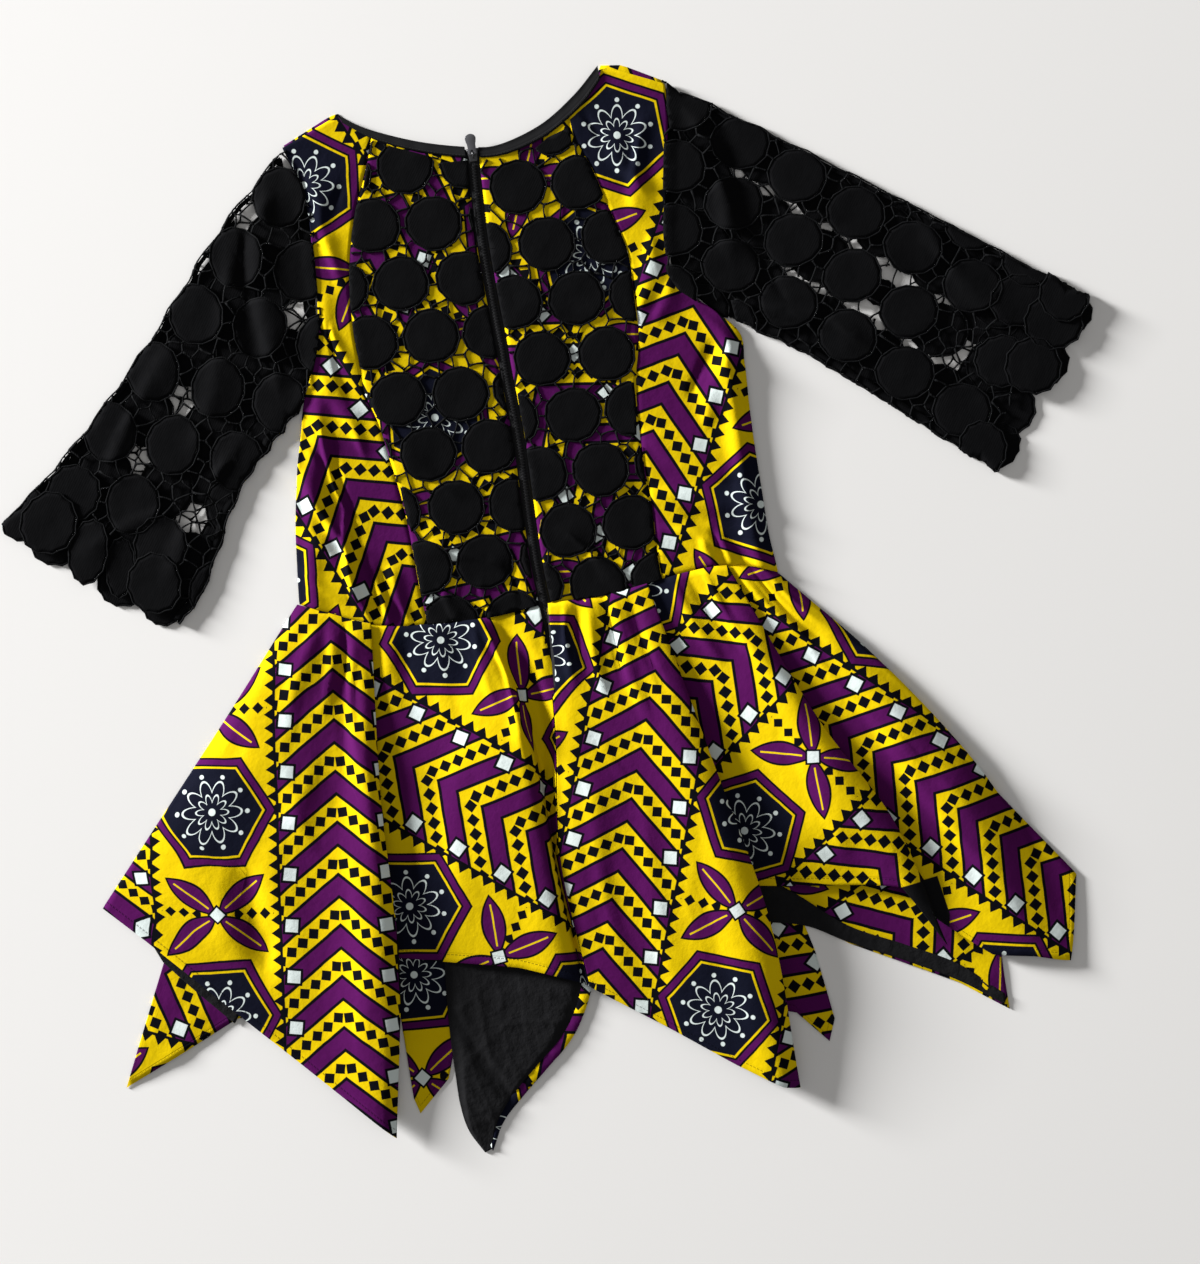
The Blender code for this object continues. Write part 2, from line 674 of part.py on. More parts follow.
# Skirt: folded back skirts over the front skirt, and the lining where it shows.
add_wall("skirt_back_left", skirt_grid(LEFT_SKIRT, -1, -1), PRINT_CLOTH, "print")
add_wall("skirt_back_right", skirt_grid(RIGHT_SKIRT, 0, 1), PRINT_CLOTH, "print")
add_wall("skirt_front", front_skirt_grid(), PRINT_CLOTH, "print")
add_wall("skirt_lining_left", np.swapaxes(strip_rows(LEFT_LINING), 0, 1), LINING_CLOTH, "lining")
add_wall("skirt_lining_middle", strip_rows(MIDDLE_LINING, 4), LINING_CLOTH, "lining")
add_wall("skirt_lining_right", np.swapaxes(strip_rows(RIGHT_LINING), 0, 1), LINING_CLOTH, "lining")
add_wall("skirt_hem_middle", strip_rows(MIDDLE_HEM), PRINT_CLOTH, "print")
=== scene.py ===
"""An ankara wax print dress with circle lace sleeves, laid flat on its front with its back up.

Sizes and tables are in millimetres from the crossing of the waist seam and the zip: x to the right
sleeve as it lies, y to the neck, z up from the floor. Meshes are moved to the part's own frame.
"""

import math
from functools import partialmethod

import bmesh
import bpy
import mathutils
import numpy as np
from mathutils.geometry import delaunay_2d_cdt
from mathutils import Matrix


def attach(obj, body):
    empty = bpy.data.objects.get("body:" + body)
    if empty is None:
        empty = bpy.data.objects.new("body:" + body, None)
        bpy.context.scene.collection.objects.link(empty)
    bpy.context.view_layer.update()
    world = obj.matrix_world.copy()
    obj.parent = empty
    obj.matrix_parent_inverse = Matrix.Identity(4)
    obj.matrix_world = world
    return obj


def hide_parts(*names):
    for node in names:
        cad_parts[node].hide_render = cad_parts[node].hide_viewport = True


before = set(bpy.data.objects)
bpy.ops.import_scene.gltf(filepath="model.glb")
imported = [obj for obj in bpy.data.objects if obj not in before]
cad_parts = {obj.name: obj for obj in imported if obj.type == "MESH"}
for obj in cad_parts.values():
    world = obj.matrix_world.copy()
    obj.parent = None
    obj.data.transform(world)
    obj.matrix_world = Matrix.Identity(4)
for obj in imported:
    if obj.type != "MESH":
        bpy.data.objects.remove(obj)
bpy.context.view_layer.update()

# ---------------------------------------------------------------------------------------------
# Front of the bodice: printed cotton, lying face down on the floor under the back. One layer of
# cloth from side seam to side seam, of which a sliver shows above the back at both shoulders.
# ---------------------------------------------------------------------------------------------

MILLIMETRES = 1000.0  # in a metre
MAP_UNIT = 100.0  # millimetres in one unit of a UV map
MIDDLE_OF_DRESS = np.array((25.8, 3.6, 0.0))
PRINT_THICKNESS = 0.7
RIM_REACH = 0.45
FRONT_Z = 0.6

# Bodice seams from the foot of the zip up: level y, then x of the left armhole and side, the left
# princess seam, the zip, the right princess seam, and the right armhole and side.
SEAMS = (
    (-90, -230, -113, 1, 109, 216), (0, -230, -113, -2, 109, 216), (40, -228, -115, -4, 108, 213),
    (80, -224, -116, -4, 110, 213), (120, -219, -118, -3, 109, 213), (160, -211, -123, -2, 110, 214),
    (200, -201, -129, -3, 114, 216), (230, -193, -137, -4, 121, 215), (250, -184, -137, -4, 124, 198),
    (280, -173, -138, -5, 125, 168), (320, -166, -136, -6, 125, 162), (360, -164, -129, -6, 115, 168),
    (400, -162, -117, -4, 105, 175), (440, -168, -100, -2, 91, 182), (465, -176, -92, -2, 90, 184),
)

# Waist seam: x, y.
WAIST = (
    (-230, 44), (-201, 31), (-172, 18), (-143, 10), (-100, 6), (-50, 4), (0, 8), (50, 7), (97, 12),
    (130, 16), (165, 17), (190, 13), (216, 3),
)

# Top edge of the front, over both shoulders and along the neck: x, y.
FRONT_TOP = (
    (-174, 467), (-130, 486), (-120, 489), (-112, 476), (-88, 459), (-48, 433), (0, 415.5),
    (50, 421), (96, 452), (122, 481), (127, 494), (148, 491), (183, 471),
)


def pick(table, index):
    """One column of a table."""
    return [row[index] for row in table]


def curve_step(t, start, end, leaving, arriving):
    """A smooth step from start to end at share t, with these slopes at both ends."""
    return (
        start * (2 * t**3 - 3 * t**2 + 1)
        + end * (3 * t**2 - 2 * t**3)
        + leaving * (t**3 - 2 * t**2 + t)
        + arriving * (t**3 - t**2)
    )


def smooth(places, values, place):
    """Values at place on a smooth curve through values at rising places."""
    places = np.array(places, dtype=float)
    values = np.array(values, dtype=float)
    slopes = np.gradient(values, places)
    index = np.clip(np.searchsorted(places, place) - 1, 0, len(places) - 2)
    span = places[index + 1] - places[index]
    t = np.clip((place - places[index]) / span, 0.0, 1.0)
    return curve_step(t, values[index], values[index + 1], slopes[index] * span, slopes[index + 1] * span)


def seam(which, y):
    """x of a bodice seam at level y. Seams count from 1 for the left side."""
    return smooth(pick(SEAMS, 0), pick(SEAMS, which), y)


def waist(x):
    """y of the waist seam at x."""
    return smooth(pick(WAIST, 0), pick(WAIST, 1), x)


def top_edge(table, x):
    """y at x of a top edge, straight from row to row of its table."""
    return np.interp(x, pick(table, 0), pick(table, 1))


def unit(vectors):
    """Vectors at length one."""
    return vectors / np.maximum(np.linalg.norm(vectors, axis=-1, keepdims=True), 1e-9)


class Number:
    """A number that varies over a surface: one socket, on which operators add Math nodes."""

    def __init__(self, finish, socket):
        self.finish = finish
        self.socket = socket

    def math(self, operation, *others, clamp=False, last=False):
        """The number after a Math node with this operation, as its first input, or as its last."""
        settings = {"operation": operation, "use_clamp": clamp}
        inputs = (*others, self) if last else (self, *others)
        return self.finish.node("ShaderNodeMath", settings, dict(enumerate(inputs)))

    __add__ = __radd__ = partialmethod(math, "ADD")
    __sub__ = partialmethod(math, "SUBTRACT")
    __rsub__ = partialmethod(math, "SUBTRACT", last=True)
    __mul__ = __rmul__ = partialmethod(math, "MULTIPLY")
    __truediv__ = partialmethod(math, "DIVIDE")
    __rtruediv__ = partialmethod(math, "DIVIDE", last=True)
    __pow__ = partialmethod(math, "POWER")
    __abs__ = partialmethod(math, "ABSOLUTE")
    clamp = partialmethod(math, "ADD", 0.0, clamp=True)

    def either(self, *others):
        """The largest of masks or distances."""
        found = self
        for other in others:
            found = found.math("MAXIMUM", other)
        return found

    def inside(self, softness=0.5):
        """1 where a distance in millimetres is below zero, 0 above, with a soft rim."""
        return (0.5 - self / softness).clamp()

    def repeat(self, length):
        """How far a place is from the middle of its repeat, from minus half to plus half a length."""
        return ((self / length).math("FRACT") - 0.5) * length


class Finish:
    """One material. node() adds any node, colour() mixes two colours, and finished() closes it."""

    def __init__(self, name):
        self.material = bpy.data.materials.new(name)
        self.material.use_nodes = True
        self.tree = self.material.node_tree
        self.tree.nodes.clear()

    def node(self, kind, settings=None, sockets=None, output=0):
        """Adds a node: its type, its settings, which are set first, and its sockets' values or links."""
        made = self.tree.nodes.new(kind)
        for key, value in (settings or {}).items():
            setattr(made, key, value)
        for key, value in (sockets or {}).items():
            if isinstance(value, Number):
                self.tree.links.new(value.socket, made.inputs[key])
            else:
                made.inputs[key].default_value = value
        return Number(self, made.outputs[output]) if made.outputs else None

    def part(self, vector, axis):
        """One part of a vector: 0 for x, 1 for y."""
        return self.node("ShaderNodeSeparateXYZ", sockets={0: vector}, output=axis)

    def colour(self, mask, under, over):
        """over where mask is 1, under where it is 0."""
        settings = {"data_type": "RGBA"}
        return self.node("ShaderNodeMix", settings, {0: mask, 6: under, 7: over}, output=2)

    def map(self, name):
        """The two numbers of a UV map, in millimetres, and the map itself."""
        place = self.node("ShaderNodeUVMap", {"uv_map": name})
        return self.part(place, 0) * MAP_UNIT, self.part(place, 1) * MAP_UNIT, place

    def noise(self, place, scale, detail=2.0, roughness=0.5):
        """Soft noise from 0 to 1. Scale counts waves in a unit of place."""
        sockets = {"Vector": place, "Scale": scale, "Detail": detail, "Roughness": roughness}
        return self.node("ShaderNodeTexNoise", sockets=sockets)

    def bump(self, height, distance, strength=1.0, normal=None):
        """A normal from a height, with distance in metres for a height of 1."""
        sockets = {"Height": height, "Distance": distance, "Strength": strength}
        if normal is not None:
            sockets["Normal"] = normal
        return self.node("ShaderNodeBump", sockets=sockets)

    def finished(self, shade, rough, gloss, **others):
        """The material, ended in a Principled shader: colour, roughness, specular level and more."""
        named = {"Base Color": shade, "Roughness": rough, "Specular IOR Level": gloss}
        named.update({key.replace("_", " "): value for key, value in others.items()})
        shader = self.node("ShaderNodeBsdfPrincipled", sockets=named)
        self.node("ShaderNodeOutputMaterial", sockets={"Surface": shader})
        return self.material


def shade_of(red, green, blue):
    """A colour with full cover."""
    return (red, green, blue, 1.0)


YELLOW = shade_of(0.70, 0.50, 0.0010)
WORN_YELLOW = shade_of(0.61, 0.41, 0.0010)
PURPLE = shade_of(0.070, 0.0042, 0.072)
CRAZED_PURPLE = shade_of(0.18, 0.03, 0.18)
NAVY = shade_of(0.0042, 0.0050, 0.0125)
CRAZED_NAVY = shade_of(0.03, 0.018, 0.05)
INK = shade_of(0.0024, 0.0026, 0.0044)
CHALK = shade_of(0.61, 0.68, 0.66)
INNER_SIDE = shade_of(0.0060, 0.0060, 0.0068)
COLUMN_WIDTH = 232.0
REPEAT = 190.0
BAR_STEP = REPEAT / 4
BAR_RISE = 0.8
BAR_SLANT = 0.625
ACROSS_BAR = 0.78
ALONG_BAR = 1.28
BAR_TIP = 45.5
BAR_END = 56.0
CHAIN_STEP = 13.2
RAIL = 60.0
TOOTH_STEP = REPEAT / 15
HEXAGON = 40.0
HEXAGON_RING = 6.6
BEADS = 10
BEAD_RING = 33.0
LEAF_LEAN = math.radians(38.0)
LEAF_MIDDLE = 30.0
LEAF_LENGTH = 27.0
LEAF_WIDTH = 9.5
STITCH_STEP = 3.6
STITCH_INSET = 7.0
THREAD_WAVE = 2 * math.pi / 0.9


def print_cloth(name, turned_corner=None):
    """Wax print on cotton: medallion columns between chevron columns, on yellow.

    turned_corner is a convex outline of x, y places where the cloth shows its black inner side.
    """
    make = Finish(name)
    u, v, place = make.map("cloth")
    bleed = make.noise(place, 4.0, 3.0)
    drift = make.noise(place, 1.3, 1.0)
    u = u + (bleed - 0.5) * 1.6 + (drift - 0.5) * 3.0
    v = v + (0.5 - bleed) * 1.4 + (drift - 0.5) * 3.0

    # p and q run from the middle of a medallion; each column is half a repeat above the last.
    beside = u.repeat(COLUMN_WIDTH)
    p = abs(beside)
    v = v + (u / COLUMN_WIDTH).math("FLOOR") * (REPEAT / 2)
    above = v.repeat(REPEAT)
    q = abs(above)

    # Chevron columns: purple bars with black edges, and chains of black lozenges between them.
    w = COLUMN_WIDTH / 2 - p
    off_bar = (v + w * BAR_RISE).repeat(BAR_STEP) * ACROSS_BAR
    arm = abs(off_bar)
    off_chain = (v + w * BAR_RISE + BAR_STEP / 2).repeat(BAR_STEP) * ACROSS_BAR
    along = ((w - off_chain * BAR_SLANT) * ALONG_BAR).repeat(CHAIN_STEP)
    from_tip = abs((w - BAR_TIP - off_bar * BAR_SLANT) * ALONG_BAR) + arm
    chevrons = (BAR_END - w).inside() * -1.0 + 1.0
    bar_ink = (arm - 9.6).inside() * chevrons
    bar = (arm - 6.8).inside() * chevrons
    chain = (abs(along) + abs(off_chain) - 6.3).inside() * chevrons

    # Borders of the medallion columns: a line, and a row of teeth.
    rail = (abs(p - RAIL) - 1.3).inside()
    tooth = (abs(v.repeat(TOOTH_STEP)) * 1.5 - 9.0 + abs(RAIL - p)).inside() * (p - RAIL).inside()

    # Medallions: a navy hexagon in a purple ring, with a white line flower.
    hexagon = q.either(p * 0.866 + q * 0.5) - HEXAGON
    in_ring = abs(hexagon - HEXAGON_RING)
    radius = (p * p + q * q).math("SQRT")
    turn = above.math("ARCTAN2", beside)
    lobe = abs((turn * (BEADS / 2)).math("COSINE"))
    petals = (abs(radius - lobe * 11.0 - 17.0) - 0.95).inside()
    inner = (abs(radius - lobe * 7.0 - 8.5) - 0.8).inside()
    eye = (radius - 3.4).inside()
    bead = (turn * (BEADS / (2 * math.pi)) + 0.5).repeat(1.0) * (2 * math.pi / BEADS) * radius
    beads = ((bead * bead + (radius - BEAD_RING) ** 2.0).math("SQRT") - 2.1).inside()
    flower = petals.either(inner, eye, beads)

    # Between medallions: four leaf blades round a white lozenge, and black lozenges to the sides.
    h = REPEAT / 2 - q
    s = p * math.cos(LEAF_LEAN) + h * math.sin(LEAF_LEAN) - LEAF_MIDDLE
    t = abs(h * math.cos(LEAF_LEAN) - p * math.sin(LEAF_LEAN))
    blade = t + (s * s) * (LEAF_WIDTH / LEAF_LENGTH**2) - LEAF_WIDTH
    rib = (t - 0.8).inside() * (abs(s) - 20.0).inside()
    studs = (abs(p.repeat(13.0)) + h - 5.4).inside() * (16.0 - p).inside() * (p - 54.0).inside()

    # Ink tones: worn on yellow, crazed by the wax on the dark colours.
    worn = make.noise(place, 2.2, 4.0, 0.6)
    yellow = make.colour((worn - 0.35) * 0.9, YELLOW, WORN_YELLOW)
    cracks = {"Vector": place, "Scale": 7.0, "Randomness": 1.0}
    veins = make.node("ShaderNodeTexVoronoi", {"feature": "DISTANCE_TO_EDGE"}, cracks)
    crazed = (0.012 - veins).math("MULTIPLY", 40.0, clamp=True)
    crazed = crazed * (worn - 0.48).math("MULTIPLY", 6.0, clamp=True)
    purple = make.colour(crazed * 0.4, PURPLE, CRAZED_PURPLE)
    navy = make.colour(crazed * 0.35, NAVY, CRAZED_NAVY)
    shade = yellow
    for mask, ink in (
        (bar_ink.either(chain), INK),
        (bar, purple),
        (rail.either(tooth), INK),
        ((from_tip - 11.5).inside(), INK),
        ((from_tip - 8.2).inside(), CHALK),
        ((blade - 2.0).inside().either(studs), INK),
        (blade.inside(), purple),
        (rib, yellow),
        ((p + h - 10.0).inside(), INK),
        ((p + h - 7.4).inside(), CHALK),
        ((in_ring - 4.6).inside(), INK),
        ((in_ring - 2.7).inside(), purple),
        (hexagon.inside(), navy),
        (flower, CHALK),
    ):
        shade = make.colour(mask, shade, ink)
    if turned_corner:
        spot = make.node("ShaderNodeTexCoord", output=3)
        x, y = (make.part(spot, axis) * MILLIMETRES for axis in (0, 1))
        sides = []
        for (x0, y0), (x1, y1) in zip(turned_corner, turned_corner[1:] + turned_corner[:1]):
            length = math.hypot(x1 - x0, y1 - y0)
            away = (x + (MIDDLE_OF_DRESS[0] - x0)) * ((y1 - y0) / length)
            sides.append(away - (y + (MIDDLE_OF_DRESS[1] - y0)) * ((x1 - x0) / length))
        shade = make.colour(sides[0].either(*sides[1:]).inside(0.8), shade, INNER_SIDE)

    # Hem: turned up once and stitched through, a line of short dents 7 mm from the edge.
    run, from_hem, _ = make.map("hem")
    stitch = (abs(run.repeat(STITCH_STEP)) - 1.25).inside() * (abs(from_hem - STITCH_INSET) - 0.4).inside()
    hem_fold = (abs(from_hem - 8.2) - 0.7).inside(1.2)
    shade = make.colour(stitch * 0.55, shade, INK)

    # Plain weave, with thicker yarns here and there, and the small crumples of pressed cotton.
    weave = (u * THREAD_WAVE).math("SINE") * (v * THREAD_WAVE).math("SINE") * 0.12
    normal = make.bump(weave + make.noise(place, 60.0) * 0.5, 0.0002, 0.5)
    normal = make.bump(0.0 - stitch - hem_fold * 0.6, 0.0005, 0.6, normal)
    normal = make.bump(make.noise(place, 6.0, 3.0, 0.55), 0.0016, 0.45, normal)
    return make.finished(shade, 0.74 + worn * 0.2, 0.04, Normal=normal)


def lining_cloth():
    """Black polyester lining: a thin plain weave with a dull shine."""
    make = Finish("black_lining")
    u, v, place = make.map("cloth")
    streak = make.noise(place, 30.0, 3.0)
    crumple = make.noise(place, 9.0, 4.0, 0.6)
    weave = (u * 5.0).math("SINE") * (v * 5.0).math("SINE") * 0.1 + streak * 0.4
    shade = make.colour(crumple * 0.8, shade_of(0.0055, 0.0055, 0.0062), shade_of(0.0120, 0.0120, 0.0132))
    normal = make.bump(crumple, 0.0022, 0.7, make.bump(weave, 0.0002, 0.5))
    return make.finished(shade, 0.68 + streak * 0.15, 0.08, Normal=normal)


WAX_PRINT = print_cloth("wax_print")
LINING = lining_cloth()


def grid_normals(grid):
    """Unit normals of a grid, rows down and columns to the right: they point up on a flat piece."""
    return unit(np.cross(np.gradient(grid, axis=0), np.gradient(grid, axis=1)))


def mesh_piece(name, points, faces, materials, kinds=None, maps=None):
    """A smooth-shaded object. Its points, and each face corner's UV pair in maps, are millimetres.

    kinds gives each face's material.
    """
    mesh = bpy.data.meshes.new(name)
    placed = (np.asarray(points, dtype=float) - MIDDLE_OF_DRESS) / MILLIMETRES
    mesh.from_pydata(placed.tolist(), [], [list(map(int, face)) for face in faces])
    for material in materials:
        mesh.materials.append(material)
    if kinds is not None:
        mesh.polygons.foreach_set("material_index", np.asarray(kinds, dtype=np.int32))
    for title, corners in (maps or {}).items():
        layer = mesh.uv_layers.new(name=title)
        layer.data.foreach_set("uv", (corners / MAP_UNIT).astype(np.float32).ravel())
    mesh.shade_smooth()
    mesh.update()
    piece = bpy.data.objects.new(name, mesh)
    bpy.context.scene.collection.objects.link(piece)
    return piece


def cloth_shell(name, grid, thickness, materials, flats, hem=None):
    """A closed shell on a grid of middle points: outer face, inner face, and a rounded rim.

    flats is a list of (first column, last column, flat places of every point); hem gives every
    point's place along the hem and its distance from it.
    """
    rows, columns = grid.shape[:2]
    count = rows * columns
    lift = grid_normals(grid) * thickness / 2
    index = np.arange(count).reshape(rows, columns)
    rim = np.concatenate([index[0, :-1], index[:-1, -1], index[-1, :0:-1], index[:0:-1, 0]])
    within = index.copy()
    within[0], within[-1] = index[1], index[-2]
    within[1:-1, 0], within[1:-1, -1] = index[1:-1, 1], index[1:-1, -2]
    middles = grid.reshape(-1, 3)
    away = unit(middles[rim] - middles[within.ravel()[rim]])
    rim_points = middles[rim] + away * thickness * RIM_REACH
    points = np.concatenate([(grid + lift).reshape(-1, 3), (grid - lift).reshape(-1, 3), rim_points])
    a, b = index[:-1, :-1].ravel(), index[:-1, 1:].ravel()
    c, d = index[1:, :-1].ravel(), index[1:, 1:].ravel()
    outer = np.stack([a, c, d, b], axis=1)
    inner = np.stack([a, b, d, c], axis=1)
    after = np.roll(rim, -1)
    edge = 2 * count + np.arange(len(rim))
    next_edge = np.roll(edge, -1)
    upper = np.stack([rim, after, next_edge, edge], axis=1)
    lower = np.stack([edge, next_edge, count + after, count + rim], axis=1)
    faces = np.concatenate([outer, inner + count, upper, lower])
    rim_source = np.stack([rim, after, after, rim], axis=1)
    source = np.concatenate([outer, inner, rim_source, rim_source])
    face_columns = (source % columns).min(axis=1)
    maps = {"cloth": np.zeros((*source.shape, 2))}
    for first, last, flat in flats:
        chosen = (face_columns >= first) & (face_columns < last)
        chosen |= (last == columns - 1) & (face_columns >= last)
        maps["cloth"][chosen] = flat.reshape(-1, 2)[source[chosen]]
    if hem is not None:
        maps["hem"] = hem.reshape(-1, 2)[source]
    kinds = np.repeat([0, len(materials) - 1, 0], [len(outer), len(inner), 2 * len(rim)])
    return mesh_piece(name, points, faces, materials, kinds, maps)


def turned(grid, angle, centre=(0.0, 0.0)):
    """Flat places of a grid that lies flat: its x and y turned by an angle in degrees and moved."""
    along, up = math.cos(math.radians(angle)), math.sin(math.radians(angle))
    x, y = grid[..., 0] - centre[0], grid[..., 1] - centre[1]
    return np.stack([x * along + y * up, y * along - x * up], axis=-1)


def sewn(piece):
    """Attaches a piece of cloth to the dress and hides the solid it replaces, which its name begins with.
    """
    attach(piece, "dress")
    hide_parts(piece.name.rpartition("_")[0])
    return piece


shares = np.linspace(0.0, 1.0, 60)
tops = top_edge(FRONT_TOP, np.linspace(-174, 183, 60))
feet = waist(np.linspace(-228.0, 214.0, 60))
y = tops + (feet - tops) * np.linspace(0.0, 1.0, 70)[:, None]
x = (seam(1, y) + 1.5) * (1 - shares) + (seam(5, y) - 1.5) * shares
front = np.stack([x, y, np.full_like(x, FRONT_Z)], axis=-1)
front_print = [(0, 59, turned(front, -38, (60, 20)))]
front_bodice = cloth_shell("front_bodice_cloth", front, PRINT_THICKNESS, [WAX_PRINT, LINING], front_print)
sewn(front_bodice)

# ---------------------------------------------------------------------------------------------
# Back of the bodice: four printed cotton panels, cut to the princess seams and sewn face to face,
# so each seam is a shallow groove. The two centre panels carry lace and are parted by the zip.
# ---------------------------------------------------------------------------------------------

BACK_Z = 4.7
SIDE_SEAM_Z = 2.2
LOWEST_Z = 2.0
HALF_ZIP = 5.9
SHOULDER_Y = 455.0
UNDERARM_Y = 262.0

# Tops of the back panels, from the left shoulder tip along shoulder and neck: x, y.
BACK_TOP = (
    (-176, 463), (-130, 482.5), (-120, 485), (-111, 473), (-89, 457.6), (-48, 439.6), (-4, 427.6),
    (28, 425.6), (68, 436.6), (103, 458.6), (123, 479), (128, 490), (145, 485), (185, 466),
)

# Creases of the bodice: from x, y to x, y, half width, and height, below zero for a trough.
BODICE_CREASES = (
    (-182, 204, -171, 120, 3.4, 2.2), (-175, 198, -165, 126, 3, -1.6), (-171, 132, -176, 34, 3.4, 1.9),
    (-166, 124, -170, 38, 3, -1.4), (186, 22, 212, 6, 3, 1.6), (-214, 196, -176, 88, 7, 2.6),
    (-200, 204, -164, 92, 6, -1.6), (-222, 150, -190, 104, 9, -1.2), (-176, 86, -166, 20, 5, 2.2),
    (-168, 90, -156, 22, 4, -1.8), (-158, 60, -148, 14, 5, 1.9), (-148, 66, -141, 14, 3.5, -1.5),
    (-138, 64, -130, 12, 5, 1.6), (-205, 100, -165, 60, 9, 1.4), (-222, 74, -172, 40, 8, 1.3),
    (-176, 250, -146, 170, 9, 1.5), (-168, 330, -142, 250, 8, 1.4), (-160, 300, -150, 220, 5, -1.1),
    (-150, 440, -140, 330, 14, 1.6), (-128, 420, -148, 380, 8, -1.0), (-118, 170, -60, 120, 12, 0.9),
    (-112, 80, -30, 44, 11, 1.0), (-96, 40, -84, 6, 4, 1.2), (-60, 36, -52, 4, 4, 1.0),
    (-30, 60, -22, 8, 5, -0.9), (14, 300, 100, 262, 16, 0.9), (16, 150, 96, 100, 14, 1.1),
    (22, 74, 70, 8, 6, 1.0), (44, 62, 96, 14, 6, -0.9), (112, 150, 190, 96, 13, 1.5),
    (112, 96, 206, 66, 11, 1.4), (118, 60, 178, 18, 7, 1.6), (138, 70, 206, 30, 6, -1.2),
    (150, 44, 160, 17, 4, 1.9), (168, 48, 176, 17, 4, 1.6), (160, 50, 168, 17, 3.5, -1.3),
    (206, 214, 172, 150, 10, 1.8), (196, 224, 160, 176, 8, -1.2), (150, 330, 128, 262, 10, 1.5),
    (168, 300, 140, 250, 7, 1.3), (120, 430, 152, 372, 12, 1.5), (160, 440, 140, 350, 11, 1.4),
    (104, 452, 122, 410, 7, -0.8),
)


def ease(value):
    """0 to 1 with soft ends."""
    share = np.clip(value, 0.0, 1.0)
    return share * share * (3 - 2 * share)


def creased(x, y, creases, gain):
    """Height that creases add at x, y: soft ridges and troughs, fading at both ends."""
    height = np.zeros_like(x)
    for x0, y0, x1, y1, width, rise in creases:
        reach = math.hypot(x1 - x0, y1 - y0)
        across = (x1 - x0) / reach
        up = (y1 - y0) / reach
        place = ((x - x0) * across + (y - y0) * up) / reach
        bow = 0.05 * reach * np.sin(np.clip(place, 0, 1) * math.pi) * (1 if int(reach) % 2 else -1)
        aside = (y - y0) * across - (x - x0) * up - bow
        spread = width * (0.75 + 0.35 * np.sin(place * 5.0 + x0)) * (1.0 + 0.35 * np.tanh(aside / width))
        fade = ease((place + 0.12) / 0.32) * ease((1.12 - place) / 0.32)
        height += gain * rise * np.exp(-((aside / spread) ** 2)) * fade
    return height


def rumple(x, y, size):
    """Small uneven waves of cloth that has been worn and laid down."""
    bend = 14 * np.sin(y / 61.0 + 1.3) + 9 * np.sin(x / 47.0)
    waves = np.sin((x + bend) / 13.0 + y / 37.0)
    waves = waves + 0.7 * np.sin((x - y * 0.6 + bend) / 19.0 + 2.1)
    waves = waves + 0.6 * np.sin((x * 0.35 + y + bend * 1.4) / 16.0 + 0.4)
    patches = 0.5 + 0.5 * np.sin(x / 83.0 + 0.8 * np.sin(y / 59.0)) * np.sin(y / 71.0 + 1.9)
    return size * waves / 2.3 * patches


def bodice_lift(x, y):
    """How far the laid bodice stands off its flat level at x, y."""
    return creased(x, y, BODICE_CREASES, 1.95) + rumple(x, y, 0.9)


def pressed(distance, reach, depth):
    """Drop of a panel's edge into its seam, at a distance from the seam."""
    return -depth * (1 - ease(np.maximum(distance, 0.0) / reach)) ** 1.5


def back_panel(name, left, right, feet, side, angle, centre, columns):
    """One panel of the back, between two seams, each given by its count and a shift across.

    feet are its x places at the waist, and side is -1 or 1 for a side panel, which slopes to the
    side seam, else 0. The print is turned by an angle, and its middle moved to centre.
    """
    shares = np.linspace(0.0, 1.0, columns)
    shoulders = [seam(which, SHOULDER_Y) + shift for which, shift in (left, right)]
    high = top_edge(BACK_TOP, shoulders[0] + (shoulders[1] - shoulders[0]) * shares)
    low = waist(feet[0] + (feet[1] - feet[0]) * shares)
    y = high + (low - high) * np.linspace(0.0, 1.0, 150)[:, None]
    first, last = (seam(which, y) + shift for which, shift in (left, right))
    width = last - first
    x = first + width * shares
    height = BACK_Z + bodice_lift(x, y)
    if side:
        edge = width * (shares if side < 0 else 1 - shares)
        below_arm = ease((UNDERARM_Y - y) / 50.0)
        fullness = 2.4 if side < 0 else 5.0
        height = height - (BACK_Z - SIDE_SEAM_Z) * below_arm * (1 - ease(edge / 18.0))
        height = height + fullness * below_arm * np.exp(-(((edge - 14.0) / 10.0) ** 2))
        height = height + pressed(width - edge, 3.0, 1.1)
        calm = ease(edge / 14.0)
        height = BACK_Z + (height - BACK_Z) * (1 - (1 - calm) * (1 - below_arm) * 0.8)
    else:
        height = height + pressed(np.minimum(width * shares, width * (1 - shares)), 2.5, 0.8)
    height = height + pressed(y - waist(x), 4.0, 1.0)
    grid = np.stack([x, y, np.maximum(height, LOWEST_Z)], axis=-1)
    print_places = [(0, columns - 1, turned(grid, angle, centre))]
    panel = cloth_shell(name + "_cloth", grid, PRINT_THICKNESS, [WAX_PRINT, LINING], print_places)
    return sewn(panel)


back_panel(
    "side_back_left", (1, 0.0), (2, -0.1), (-230.0, -113.3), -1, 24, (-152, 120), 44,
)
centre_back_left = back_panel(
    "centre_back_left", (2, 0.1), (3, -HALF_ZIP), (-113.1, -6.4), 0, -34, (20, 130), 36,
)
centre_back_right = back_panel(
    "centre_back_right", (3, HALF_ZIP), (4, -0.1), (2.4, 108.8), 0, 31, (40, 180), 36,
)
back_panel(
    "side_back_right", (4, 0.1), (5, 0.0), (109.0, 216.0), 1, -27, (150, 205), 40,
)

